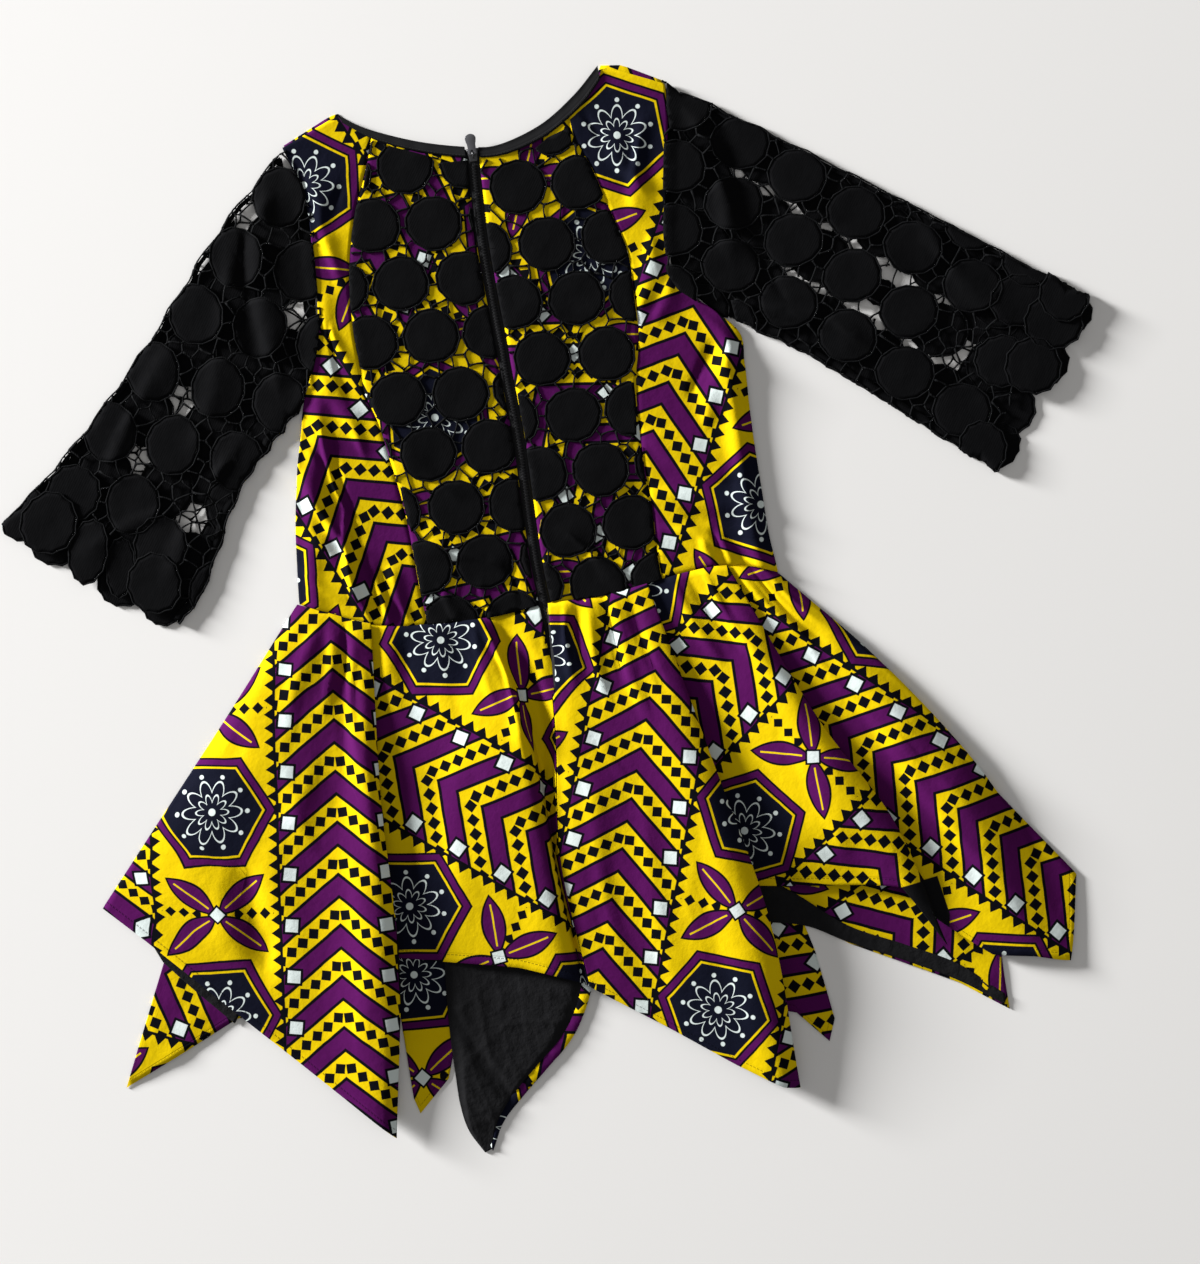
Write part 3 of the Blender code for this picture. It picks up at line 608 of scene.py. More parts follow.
# ---------------------------------------------------------------------------------------------
# Circle lace: black guipure, stitched on a base that is then dissolved. Matt woven discs, each
# with a satin cord round it, joined by fine bars. The centre back has one layer on the print.
# ---------------------------------------------------------------------------------------------

LACE_Z = 5.75
BACK_DISC = (26.2, 24.9, -9.0)
DISC_TOP = 0.36
DISC_FOOT = -0.30
DISC_RINGS = (0.22, 0.45, 0.66, 0.84, 0.985)
DISC_STEPS = 48
DISC_CORNERS = 12
CUT_REACH = 30.0
CORD_Z = 0.25
CORD_RADIUS = 0.8
BAR_Z = 0.1
BAR_RADIUS = 1.02
BAR_SPACING = 12.4
BAR_TRIES = 26000
BAR_SHAPE = np.array([1.25, 0.95, 0.85, 0.95, 1.25])
LONGEST_BAR = 60.0


def lace_thread(name, light, dark, rough, gloss):
    """Black cotton and polyester thread, matt, with the direction of the stitches showing a little."""
    make = Finish(name)
    across, down, place = make.map("cloth")
    fibre = make.noise(place, 40.0, 3.0)
    cloud = make.noise(place, 3.0, 3.0)
    rib = ((across + down * 0.15) * 4.2).math("SINE") * 0.22 + (down * 7.0).math("SINE") * 0.14
    shade = make.colour(cloud * 0.6 + fibre * 0.4, shade_of(*dark), shade_of(*light))
    normal = make.bump(cloud, 0.004, 0.35, make.bump(rib + fibre * 0.6, 0.0004, 0.6))
    return make.finished(shade, rough + fibre * 0.12, gloss, Normal=normal)


DISC_CLOTH = lace_thread("lace_discs", (0.0040, 0.0041, 0.0046), (0.0022, 0.0022, 0.0026), 0.85, 0.045)
CORD_THREAD = lace_thread("lace_cord", (0.0048, 0.0050, 0.0056), (0.0022, 0.0023, 0.0027), 0.75, 0.06)


def left_of(ahead):
    """Flat directions turned a quarter to the left."""
    return np.stack([-ahead[..., 1], ahead[..., 0]], axis=-1)


def round_turns(count):
    """Angles all round a circle, in equal steps."""
    return np.arange(count) / count * 2 * math.pi


def skin(rings, sides, closed=False, inside_out=False):
    """Faces of a body through rings of points, with flat ends unless it closes on itself."""
    faces = []
    for step in range(rings if closed else rings - 1):
        near = step * sides
        far = (step + 1) % rings * sides
        for side in range(sides):
            other = (side + 1) % sides
            faces.append((near + side, near + other, far + other, far + side))
    if not closed:
        last = (rings - 1) * sides
        faces += [tuple(range(sides))[::-1], tuple(range(last, last + sides))]
    return [(face[0], *face[:0:-1]) for face in faces] if inside_out else faces


class Strands:
    """Gathers closed bodies of one piece. Lace is gathered flat, as x, y and height, then laid."""

    def __init__(self):
        self.points = []
        self.faces = []
        self.kinds = []
        self.count = 0

    def add(self, points, faces, kind=0):
        """A body of disc cloth, kind 0, or cord, kind 1."""
        self.points.append(np.asarray(points, dtype=float))
        self.faces.extend([tuple(corner + self.count for corner in face) for face in faces])
        self.kinds.extend([kind] * len(faces))
        self.count += len(points)

    def tube(self, path, height, radii, closed=False, sides=6, squash=0.65):
        """A cord along a flat path. Its radii up and down are the share squash of those given."""
        path = np.asarray(path, dtype=float)
        count = len(path)
        if closed:
            ahead = np.roll(path, -1, axis=0) - np.roll(path, 1, axis=0)
        else:
            ahead = np.gradient(path, axis=0)
        radii = np.broadcast_to(radii, count)[:, None]
        turns = round_turns(sides)
        ring = path[:, None] + left_of(unit(ahead))[:, None] * (np.cos(turns) * radii)[..., None]
        level = np.broadcast_to(height, count)[:, None] + np.sin(turns) * radii * squash
        points = np.concatenate([ring, level[..., None]], axis=2).reshape(-1, 3)
        self.add(points, skin(count, sides, closed), 1)

    def band(self, path, width, low, high):
        """A flat band of disc cloth on the left of a path, from height low to high."""
        other = path + left_of(unit(np.gradient(path, axis=0))) * width
        corners = ((path, low), (other, low), (other, high), (path, high))
        rings = [np.column_stack([line, np.full(len(line), level)]) for line, level in corners]
        self.add(np.stack(rings, axis=1).reshape(-1, 3), skin(len(path), 4, inside_out=True))

    def laid(self, name, place):
        """The piece of lace, with every point put in space by place."""
        flat = np.concatenate(self.points)
        loops = np.concatenate([np.array(face) for face in self.faces])
        materials = [DISC_CLOTH, CORD_THREAD]
        return mesh_piece(name, place(flat), self.faces, materials, self.kinds, {"cloth": flat[loops, :2]})


def disc_rim(centre, shape, wobble, drawn):
    """Outline of a disc, uneven as satin cord draws it in. shape is its two radii and its lean.

    drawn is how far the net pulls its corners out, as a share of the radius.
    """
    turns = round_turns(DISC_STEPS)
    corner = np.abs(np.arange(DISC_STEPS) * DISC_CORNERS / DISC_STEPS % 1.0 - 0.5) * 2
    uneven = 1.0 + 0.014 * np.cos(3 * turns + wobble) + 0.010 * np.cos(5 * turns + wobble * 2.7)
    uneven = uneven + drawn * (corner**1.5 - 0.5)
    spots = np.stack([np.cos(turns) * shape[0] * uneven, np.sin(turns) * shape[1] * uneven], axis=1)
    return turned(spots, -(shape[2] + 12 * math.sin(wobble * 3.0))) + centre


def runs(mask):
    """Runs of neighbouring places where a mask holds."""
    places = np.flatnonzero(mask)
    return np.split(places, np.flatnonzero(np.diff(places) > 1) + 1)


def add_disc(strands, centre, shape, wobble, cuts, base=0.0, drawn=0.03):
    """A woven disc with its cord, trimmed by cuts: points on an edge with their inward normals."""
    rim = disc_rim(centre, shape, wobble, drawn)
    work = bmesh.new()
    middle = work.verts.new((*centre, 0.0))
    rings = [
        [work.verts.new((*(centre * (1 - share) + spot * share), 0.0)) for spot in rim]
        for share in DISC_RINGS
    ]
    for index in range(DISC_STEPS):
        after = (index + 1) % DISC_STEPS
        work.faces.new((middle, rings[0][index], rings[0][after]))
        for low, high in zip(rings, rings[1:]):
            work.faces.new((low[index], high[index], high[after], low[after]))
    kept = np.ones(DISC_STEPS, dtype=bool)
    for spot, inward in cuts:
        geometry = work.verts[:] + work.edges[:] + work.faces[:]
        plane = {"plane_co": (*spot, 0.0), "plane_no": (*-inward, 0.0)}
        bmesh.ops.bisect_plane(work, geom=geometry, dist=0.01, clear_outer=True, **plane)
        kept &= (rim - spot) @ inward > 0.3
    if len(work.faces) < 8:
        work.free()
        return
    bmesh.ops.remove_doubles(work, verts=work.verts[:], dist=0.05)
    work.verts.index_update()
    flat = np.array([vert.co[:2] for vert in work.verts])
    faces = [[vert.index for vert in face.verts] for face in work.faces]
    total = len(flat)
    walls = []
    for edge in work.edges:
        if len(edge.link_loops) == 1:
            loop = edge.link_loops[0]
            first, second = loop.vert.index, loop.link_loop_next.vert.index
            walls.append((second, first, total + first, total + second))
    work.free()
    reach = np.linalg.norm((flat - centre) / shape[0], axis=1)
    swell = base + 0.28 * np.cos(flat[:, 0] / 7.0 + wobble) * np.sin(flat[:, 1] / 9.0) * (1 - reach**2)
    points = [np.column_stack([flat, swell + height]) for height in (DISC_TOP, DISC_FOOT)]
    under = [[total + index for index in reversed(face)] for face in faces]
    strands.add(np.concatenate(points), faces + under + walls)
    steps = np.arange(DISC_STEPS)
    radii = CORD_RADIUS * (1.0 + 0.12 * np.sin(steps * 1.9 + wobble))
    if kept.all():
        strands.tube(rim, base + CORD_Z, radii, closed=True)
        return
    order = np.roll(steps, -int(np.argmin(kept)))
    for run in runs(kept[order]):
        if len(run) > 2:
            strands.tube(rim[order[run]], base + CORD_Z, radii[order[run]])


def bar_lines(sites):
    """Ends of the bars between cells grown round the sites."""
    vectors = [mathutils.Vector((float(x), float(y))) for x, y in sites]
    spots, _, cells, *_ = delaunay_2d_cdt(vectors, [], [], 0, 1e-6)
    spots = np.array(spots)
    middles = []
    shared = {}
    for index, cell in enumerate(cells):
        a, b, c = spots[list(cell[:3])]
        middles.append(np.linalg.solve([2 * (b - a), 2 * (c - a)], [b @ b - a @ a, c @ c - a @ a]))
        for pair in zip(cell, [*cell[1:], cell[0]]):
            shared.setdefault((min(pair), max(pair)), []).append(index)
    return [(middles[pair[0]], middles[pair[1]]) for pair in shared.values() if len(pair) == 2]


def add_bars(strands, discs, shape, clearance, box, seed, base=0.0):
    """The net of bars between discs, where clearance, the distance inside the edges, is above zero."""
    random = np.random.default_rng(seed)

    def gap(points):
        """About how far points are outside the nearest disc."""
        offsets = turned(points[:, None] - discs[None], shape[2]) / shape[:2]
        return (np.min(np.linalg.norm(offsets, axis=2), axis=1) - 1) * (shape[0] + shape[1]) / 2

    tries = random.uniform(*box, (BAR_TRIES, 2))
    sites = []
    for spot in tries[(gap(tries) > 0.4) & (clearance(tries) > -9.0)]:
        if not sites or np.min(np.sum((np.array(sites) - spot) ** 2, axis=1)) > BAR_SPACING**2:
            sites.append(spot)
    # Sites inside the discs keep the cells round them closed.
    for first, second in bar_lines(np.concatenate([np.array(sites), discs])):
        line = first + (second - first) * np.linspace(0, 1, 25)[:, None]
        if np.linalg.norm(second - first) > LONGEST_BAR:
            continue
        free = (gap(line) > -0.3) & (clearance(line) > -0.2)
        if free.sum() < 2:
            continue
        for run in runs(free):
            whole = line[run[-1]] - line[run[0]]
            if len(run) < 2 or np.linalg.norm(whole) < 0.9:
                continue
            path = line[run[0]] + whole * np.linspace(0, 1, 5)[:, None]
            sag = np.sin(np.linspace(0, math.pi, 5)) * random.uniform(-0.07, 0.07)
            radii = BAR_RADIUS * random.uniform(0.85, 1.15) * BAR_SHAPE
            strands.tube(path + left_of(whole) * sag[:, None], base + BAR_Z, radii, sides=5)


def lattice(origin, across, down, low, high, seed):
    """Centres of discs in slanting rows that fill a box, each a little off its place."""
    random = np.random.default_rng(seed)
    found = []
    for row in range(-12, 13):
        for place in range(-12, 13):
            spot = np.array(origin) + np.array(across) * place + np.array(down) * row
            spot = spot + random.uniform(-1.6, 1.6, 2)
            if (spot > low - CUT_REACH).all() and (spot < high + CUT_REACH).all():
                found.append(spot)
    return np.array(found)


def facing(edge, middle):
    """An edge, run so that the middle of the cloth is on its left."""
    nearest = int(np.argmin(np.linalg.norm(edge[:-1] - middle, axis=1)))
    inward = left_of(edge[nearest + 1] - edge[nearest])
    return edge if (middle - edge[nearest]) @ inward > 0 else edge[::-1]


def beside(edge, points):
    """For every point and step of an edge, the nearest spot and its distance; then each step's left."""
    steps = np.diff(edge, axis=0)
    lengths = np.linalg.norm(steps, axis=1)
    shares = np.clip(np.sum((points[:, None] - edge[:-1]) * steps, axis=2) / lengths**2, 0, 1)
    spots = edge[:-1] + steps * shares[..., None]
    return spots, np.linalg.norm(points[:, None] - spots, axis=2), left_of(steps) / lengths[:, None]


def nearest_on(edge, points):
    """Distance inside an edge, the nearest place on it, and the inward direction there."""
    spots, gaps, inward = beside(edge, points)
    best = np.argmin(gaps, axis=1)
    spot = spots[np.arange(len(points)), best]
    return np.sum((points - spot) * inward[best], axis=1), spot, inward[best]


def inside_edges(edges, points):
    """Least signed distance of points inside the edges."""
    found = []
    for edge in edges:
        depth, spot, _ = nearest_on(edge, points)
        found.append(np.sign(depth) * np.linalg.norm(points - spot, axis=1))
    return np.min(found, axis=0)


def edge_cuts(edges, centre, reach):
    """Cuts that trim a disc at centre by the edges near it."""
    cuts = []
    for edge in edges:
        (spots,), (gaps,), inward = beside(edge, centre[None])
        best = int(np.argmin(gaps))
        for index in {max(best - 2, 0), best, min(best + 2, len(gaps) - 1)}:
            if gaps[best] < reach and gaps[index] < reach + 6:
                cuts.append((spots[index], inward[index]))
    return cuts


def back_lace(name, side, origin, seed, flat):
    """Lace on one centre-back panel, trimmed at neck, princess seam, waist and zip."""
    levels = np.linspace(8.0, 462.0, 46)
    widths = np.linspace(-130.0, 130.0, 60)
    lines = (
        (seam(2 if side < 0 else 4, levels) - side * 0.1, levels),
        (seam(3, levels) + side * (HALF_ZIP - 0.4), levels),
        (widths, top_edge(BACK_TOP, widths) - 2.0),
        (widths, waist(widths) - 0.3),
    )
    edges = [facing(np.stack(line, axis=1), (side * 60.0, 220.0)) for line in lines]
    sides = np.concatenate(edges[:2])[:, 0]
    box = np.array([(sides.min(), 4.0), (sides.max(), 470.0)])
    centres = lattice(origin, (57.7, -4.6), (18.5, -54.8), *box, seed)
    centres = centres[inside_edges(edges, centres) > -24.0]
    strands = Strands()
    for index, centre in enumerate(centres):
        add_disc(strands, centre, BACK_DISC, index * 1.7 + seed, edge_cuts(edges, centre, 28.0))
    add_bars(strands, centres, BACK_DISC, lambda points: inside_edges(edges, points), box, seed + 5)

    def place(flat):
        """Laid on the panel, down into its seams."""
        lift = bodice_lift(*flat[:, :2].T) + pressed(inside_edges(edges[:2], flat[:, :2]), 2.5, 0.8)
        return flat + np.pad(LACE_Z + lift[:, None], ((0, 0), (2, 0)))

    return sewn(strands.laid(name + "_net", place))


back_lace("lace_back_left", -1, (-65.6, 428.7), 3, (0.122, 0.456))
back_lace("lace_back_right", 1, (34.1, 392.8), 8, (0.122, 0.442))

# ---------------------------------------------------------------------------------------------
# Sleeves: the same lace as a flat tube, seamed under the arm. The lace goes round the upper fold
# without a seam and round the lower fold to the underarm seam. The cuff is the lace's own edge.
# ---------------------------------------------------------------------------------------------

SLEEVE_LOW = 0.75
SLEEVE_HIGH = 4.7
SLEEVE_TURN = (SLEEVE_HIGH - SLEEVE_LOW) / 2

# Sleeve edges from the body to the cuff: share of the length, then outer x, y and inner x, y.
LEFT_SLEEVE = (
    (0.0, -176, 463, -197, 224), (0.2, -240, 405, -224, 199), (0.5, -330, 304, -268, 152),
    (0.8, -424, 212, -315, 68), (1.0, -487, 163, -341, 42),
)
RIGHT_SLEEVE = (
    (0.0, 185, 468, 216, 238), (0.2, 256, 419, 262, 207), (0.5, 362, 343, 322, 158),
    (0.8, 470, 263, 388, 100), (1.0, 539, 210, 431, 64),
)

# Creases of the sleeves, as those of the bodice.
SLEEVE_CREASES = (
    (-196, 440, -214, 250, 13, 2.6), (-222, 400, -232, 260, 9, -1.2), (-240, 380, -300, 200, 12, 1.5),
    (-300, 300, -390, 180, 14, 1.6), (-330, 150, -420, 120, 12, 1.2), (-260, 200, -340, 90, 10, 1.8),
    (204, 440, 222, 300, 13, 2.6), (232, 420, 262, 250, 10, -1.2), (236, 250, 330, 190, 11, 2.2),
    (262, 360, 380, 250, 14, 1.5), (300, 230, 400, 150, 12, 1.3), (400, 300, 470, 190, 12, 1.5),
)

# Places where both layers are open and the surface shows: x, y.
LEFT_BARE = ((-196, 445), (-207, 434), (-217, 405), (-192, 313), (-321, 247), (-361, 192), (-347, 142))
RIGHT_BARE = (
    (237, 375), (267, 346), (294, 331), (316, 304), (343, 290), (365, 265), (394, 251), (415, 225),
    (265, 281), (294, 277), (301, 252), (330, 235), (346, 238), (363, 202), (396, 190), (408, 164),
)

# Discs of the cuffs, of the upper and the lower layer: x, y, two radii, lean, and height.
LEFT_CUFF = (
    (
        (-465, 166, 25, 25, 0, 0.0), (-418, 179, 26, 25, 81, 0.0), (-445, 155, 29, 26, 70, 1.5),
        (-413, 123, 30, 18, 84, 0.8), (-386, 104, 28, 13, 88, 0.0), (-346, 118, 27, 25, 81, 0.0),
        (-357, 84, 28, 25, 86, 1.6),
    ),
    ((-441, 140, 25, 25, 0, 0.6), (-385, 90, 25, 22, 10, 0.6), (-352, 64, 20, 19, 40, 0.8)),
)
RIGHT_CUFF = (
    (
        (476, 216, 26, 24, -9, 0.0), (519, 214, 23, 24, -9, 2.6), (505, 191, 27, 25, -20, 1.4),
        (480, 154, 26, 26, 0, 1.4), (452, 163, 25, 24, 0, 0.0), (422, 86, 22, 25, 10, 1.2),
    ),
    (
        (522, 197, 21, 19, 20, 0.8), (452, 120, 25, 25, 0, 0.7), (436, 87, 22, 20, 30, 0.7),
        (488, 158, 26, 24, 0, 0.0), (352, 244, 14, 12, 0, 0.4),
    ),
)


def least_away(points, spots):
    """Distance of points from the nearest of some spots."""
    return np.min(np.linalg.norm(points[:, None] - spots, axis=2), axis=1)


def sleeve(name, side, seed, table, rows, shape, unders, bare, cuffs, flat):
    """Both layers of a sleeve. The upper layer's lace goes on round both folds.

    rows are the first disc of the upper layer and the steps along and down its rows. unders are the
    lattices of the bunched lower layer: offset from the upper one, height, and how far its discs
    keep from the bare places. cuffs are the discs along the cuff.
    """
    middle = (np.array(table[2][1:3]) + np.array(table[2][3:5])) / 2
    shares = np.clip(np.linspace(-0.04, 1.06, 30), 0, 1)
    folds = []
    for column in (1, 3):
        line = [smooth(pick(table, 0), pick(table, column + axis), shares) for axis in (0, 1)]
        line = np.stack(line, axis=1)
        line[0] += line[1] - line[2]
        line[-1] += (line[-1] - line[-3]) * 0.5
        beat = np.arange(len(line)) + column + seed
        bulge = 1.3 * np.sin(beat * 2.0) + 0.8 * np.sin(beat * 4.4)
        folds.append(facing(line + bulge[:, None] * left_of(unit(line[-1] - line[0])), middle))
    levels = np.linspace(180.0, 480.0, 34)
    arm = facing(np.stack([seam(1 if side < 0 else 5, levels) - side * 2.5, levels], axis=1), middle)
    ends = np.array([table[-1][1:3], table[-1][3:5]], dtype=float)
    past = unit(ends[1] - ends[0]) * 60.0
    cuff = facing(ends + np.stack([-past, past]), middle)
    outline = np.concatenate([*folds, arm])
    box = (outline.min(axis=0) - 20, outline.max(axis=0) + 20)
    insets = [left_of(unit(fold[-1] - fold[0])) for fold in folds]
    by_hand = [np.array(discs, dtype=float) for discs in cuffs]

    def fold_gap(points):
        """How far points are inside the nearer fold."""
        return np.min([nearest_on(fold, points)[0] for fold in folds], axis=0)

    origin, along, down = rows
    found = lattice(origin, along, down, *box, seed)
    keep = (fold_gap(found) > -13.0) & (inside_edges([arm], found) > -16.0)
    keep &= (inside_edges([cuff], found) > 12.0) & (least_away(found, by_hand[0][:, :2]) > 40.0)
    upper_discs = np.pad(found[keep], ((0, 0), (0, 1)))
    lower_discs = []
    for number, (shift_x, shift_y, level, distance) in enumerate(unders):
        found = lattice(np.array(origin) + (shift_x, shift_y), along, down, *box, seed + 1 + number)
        keep = (inside_edges([arm], found) > -16.0) & (inside_edges([cuff], found) > 24.0)
        keep &= (inside_edges(folds, found) > -18.0) & (least_away(found, np.array(bare)) > distance)
        lower_discs.append(np.pad(found[keep], ((0, 0), (0, 1)), constant_values=level))

    strands = Strands()
    for upper, discs, extra in (
        (True, upper_discs, by_hand[0]),
        (False, np.concatenate(lower_discs), by_hand[1]),
    ):
        arm_edge = arm if upper else arm + (side * 3.5, 0.0)
        fold_trims = [] if upper else [fold + inset * 1.3 for fold, inset in zip(folds, insets)]
        for index, disc in enumerate(discs):
            trims = [arm_edge - (side * 1.6 * math.sin(index * 2.4), 0.0), *fold_trims]
            cuts = edge_cuts(trims, disc[:2], CUT_REACH)
            add_disc(strands, disc[:2], shape, index * 2.3 + seed, cuts, disc[2])
        for index, disc in enumerate(extra):
            cuts = edge_cuts(fold_trims, disc[:2], CUT_REACH)
            add_disc(strands, disc[:2], disc[2:5], index * 1.9 + seed, cuts, disc[5], 0.06)

        def clearance(points, arm_edge=arm_edge, reach=3.0 if upper else -5.0):
            """How far points are inside the arm seam, the cuff and the folds."""
            inner = np.minimum(inside_edges([arm_edge], points), inside_edges([cuff], points) - 16.0)
            return np.minimum(inner, fold_gap(points) + reach)

        discs = np.concatenate([discs[:, :2], extra[:, :2]])
        add_bars(strands, discs, shape, clearance, box, seed + 3 + upper, 0.0 if upper else 0.95)
        for fold, inset, (shift, width, high) in zip(folds, insets, ((1.8, 3.5, 3.0), (1.6, 7.0, 3.3))):
            ahead = np.linspace(0.05, 0.93, 120) * (len(fold) - 1)
            path = np.stack([np.interp(ahead, range(len(fold)), fold[:, axis]) for axis in (0, 1)], axis=1)
            path = path[inside_edges([arm], path) > 4.0]
            beat = np.arange(len(path))
            waver = 0.35 * np.sin(beat * 0.9) + 0.3 * np.sin(beat * 0.37)
            if upper:
                strands.tube(path + inset * (0.7 + waver)[:, None], BAR_Z, 0.95 + 0.2 * waver)
            else:
                strands.band(path + inset * shift, width, 0.4, high)
        if upper:
            upper_count = strands.count

    def place(flat):
        """The upper layer laid over the arm seam and round both folds, the lower one on the floor."""
        points, height = flat[:upper_count, :2], flat[:upper_count, 2]
        arm_gap = inside_edges([arm], points)
        puff = creased(*points.T, SLEEVE_CREASES, 1.82) + rumple(*points.T, 0.9)
        puff = puff * ease((fold_gap(points) - 2.0) / 16.0) * ease((arm_gap + 1.0) / 14.0)
        rise = 1.35 * ease((15.0 - arm_gap) / 12.0)
        level = np.column_stack([points, SLEEVE_HIGH + rise + puff + height])
        for fold in folds:
            gap, spot, inward = nearest_on(fold, points)
            arc = np.clip((SLEEVE_TURN - gap) / SLEEVE_TURN, 0.0, math.pi)
            under = np.maximum(-gap - SLEEVE_TURN * (math.pi - 1), 0.0)
            radius = SLEEVE_TURN + height
            aside = SLEEVE_TURN - radius * np.sin(arc) + under
            z = SLEEVE_LOW + SLEEVE_TURN + radius * np.cos(arc) + rise * np.cos(arc / 2) ** 2
            round_fold = np.column_stack([spot + inward * aside[:, None], np.maximum(z, 0.05)])
            level = np.where(gap[:, None] < SLEEVE_TURN, round_fold, level)
        return np.concatenate([level, flat[upper_count:] + (0.0, 0.0, SLEEVE_LOW)])

    sewn(strands.laid(name + "_net", place))


sleeve(
    "sleeve_left", -1, 21, LEFT_SLEEVE, ((-233.0, 371.8), (-47.1, -47.0), (55.6, -23.1)),
    (28.0, 24.8, 81.0), ((-12.9, -39.0, 0.95, 15.0), (21.4, -31.1, 0.0, 18.0)),
    LEFT_BARE, LEFT_CUFF, (0.430, 0.433),
)
sleeve(
    "sleeve_right", 1, 34, RIGHT_SLEEVE, ((243.9, 403.7), (47.9, -41.6), (-12.8, -56.3)),
    (27.4, 24.4, -9.0), ((24.0, -20.8, 0.95, 10.0), (11.7, -32.6, 0.0, 26.0), (36.2, -9.0, 0.0, 26.0)),
    RIGHT_BARE, RIGHT_CUFF, (0.420, 0.438),
)

# ---------------------------------------------------------------------------------------------
# Skirt back: two printed circle-cut pieces, gathered a little at the waist and sewn together
# below the zip. They lie in flutes and rolled folds, over points that hang down as the hem.
# ---------------------------------------------------------------------------------------------

ZIP_END_Y = -73.0
CENTRE_GAP = 0.5
SKIRT_LENGTH = 480.0

# Fold lines of the left back skirt from the side edge to the centre seam: name, x and z at the
# waist, then x, y, z a third of the way down, two thirds down, and at the hem.
LEFT_SKIRT = (
    ("side edge", -230, 2.2, -304, -41, 2.2, -379, -124, 2.2, -453, -206, 2.2),
    ("side slope", -224, 4.6, -291, -49, 8.0, -360, -136, 8.0, -419, -241, 5.0),
    ("flat crest", -208, 6.2, -247, -81, 11.0, -296, -205, 11.0, -343, -324, 7.0),
    ("flat middle", -188, 6.6, -212, -107, 10.0, -244, -237, 12.0, -279, -393, 8.0),
    ("fold shoulder", -173, 8.0, -191, -127, 15.0, -201, -281, 17.0, -228, -448, 12.0),
    ("fold edge", -165, 6.9, -181, -143, 12.5, -189, -303, 13.5, -217, -459, 9.5),
    ("fold under", -172, 5.8, -189, -128, 10.0, -197, -272, 10.5, -220, -410, 7.2),
    ("tuck back", -175, 5.4, -203, -111, 8.4, -228, -220, 8.6, -238, -313, 6.4),
    ("tuck turn", -178, 4.4, -210, -104, 6.6, -234, -207, 6.8, -245, -301, 5.2),
    ("tuck front", -174, 3.4, -202, -102, 4.8, -223, -199, 5.0, -235, -296, 4.0),
    ("under the fold", -165, 3.4, -175, -97, 4.8, -183, -196, 5.2, -188, -295, 4.2),
    ("flute rise", -120, 5.4, -126, -100, 9.0, -138, -204, 10.0, -147, -305, 6.5),
    ("flute crest", -84, 6.8, -64, -104, 15.0, -70, -214, 15.0, -80, -321, 9.8),
    ("flute ridge", -66, 7.6, -39, -109, 14.2, -34, -222, 13.8, -27, -343, 9.2),
    ("valley floor", -53, 4.8, -31, -111, 2.6, -30.5, -224, 2.6, -23, -346, 2.6),
    ("centre seam", -3, 5.0, -12, -113, 12.6, -26, -228, 12.6, -18, -349, 7.8),
)

# Fold lines of the right back skirt from the centre seam to the outer edge, in the same columns.
RIGHT_SKIRT = (
    ("centre seam", -3, 5.0, -12, -113, 12.6, -26, -228, 12.6, -18, -349, 7.8),
    ("first slope", 14, 6.4, 2, -119, 14.0, -13, -236, 14.0, -2, -361, 9.0),
    ("first rise", 32, 6.2, 27, -130, 14.2, 26, -264, 14.2, 51, -400, 8.8),
    ("first crest", 57, 6.6, 66, -150, 15.0, 81, -292, 17.0, 104, -441, 11.0),
    ("fold shoulder", 82, 8.0, 109, -157, 18.0, 140, -308, 20.0, 145, -469, 13.5),
    ("fold edge", 94, 6.9, 126, -152, 14.5, 156, -313, 15.5, 160, -472, 10.2),
    ("fold under", 87, 5.8, 118, -151, 10.8, 146, -309, 11.2, 144, -436, 7.6),
    ("tuck back", 84, 5.4, 96, -144, 9.2, 115, -263, 8.8, 131, -294, 6.6),
    ("tuck turn", 81, 4.4, 90, -140, 7.0, 108, -255, 6.9, 125, -284, 5.3),
    ("tuck front", 84, 3.4, 97, -136, 4.8, 116, -245, 5.0, 133, -278, 4.0),
    ("under the fold", 94, 3.4, 123, -134, 4.8, 146, -238, 5.2, 153, -282, 4.2),
    ("second rise", 118, 5.4, 154, -134, 9.0, 179, -229, 9.0, 197, -289, 5.6),
    ("second crest", 142, 6.6, 188, -136, 13.0, 220, -231, 13.0, 247, -296, 8.2),
    ("roll shoulder", 160, 8.0, 215, -133, 16.0, 262, -240, 16.5, 282, -304, 10.5),
    ("roll edge", 170, 6.9, 232, -141, 12.5, 284, -241, 13.0, 316, -364, 7.6),
    ("roll under", 165, 5.8, 225, -136, 9.4, 274, -236, 9.2, 308, -340, 5.9),
    ("roll turn", 161, 4.6, 217, -133, 7.0, 264, -233, 6.9, 294, -323, 4.8),
    ("roll front", 166, 3.5, 226, -133, 4.8, 274, -233, 4.8, 302, -331, 3.6),
    ("third rise", 185, 5.4, 262, -133, 9.0, 315, -242, 9.5, 356, -379, 5.5),
    ("third crest", 196, 6.2, 291, -130, 13.0, 355, -246, 14.0, 395, -387, 8.5),
    ("third slope", 207, 5.2, 315, -124, 9.0, 388, -244, 9.0, 427, -396, 4.8),
    ("outer edge", 215, 2.2, 300, -99, 2.2, 375, -217, 2.2, 445, -318, 2.2),
)

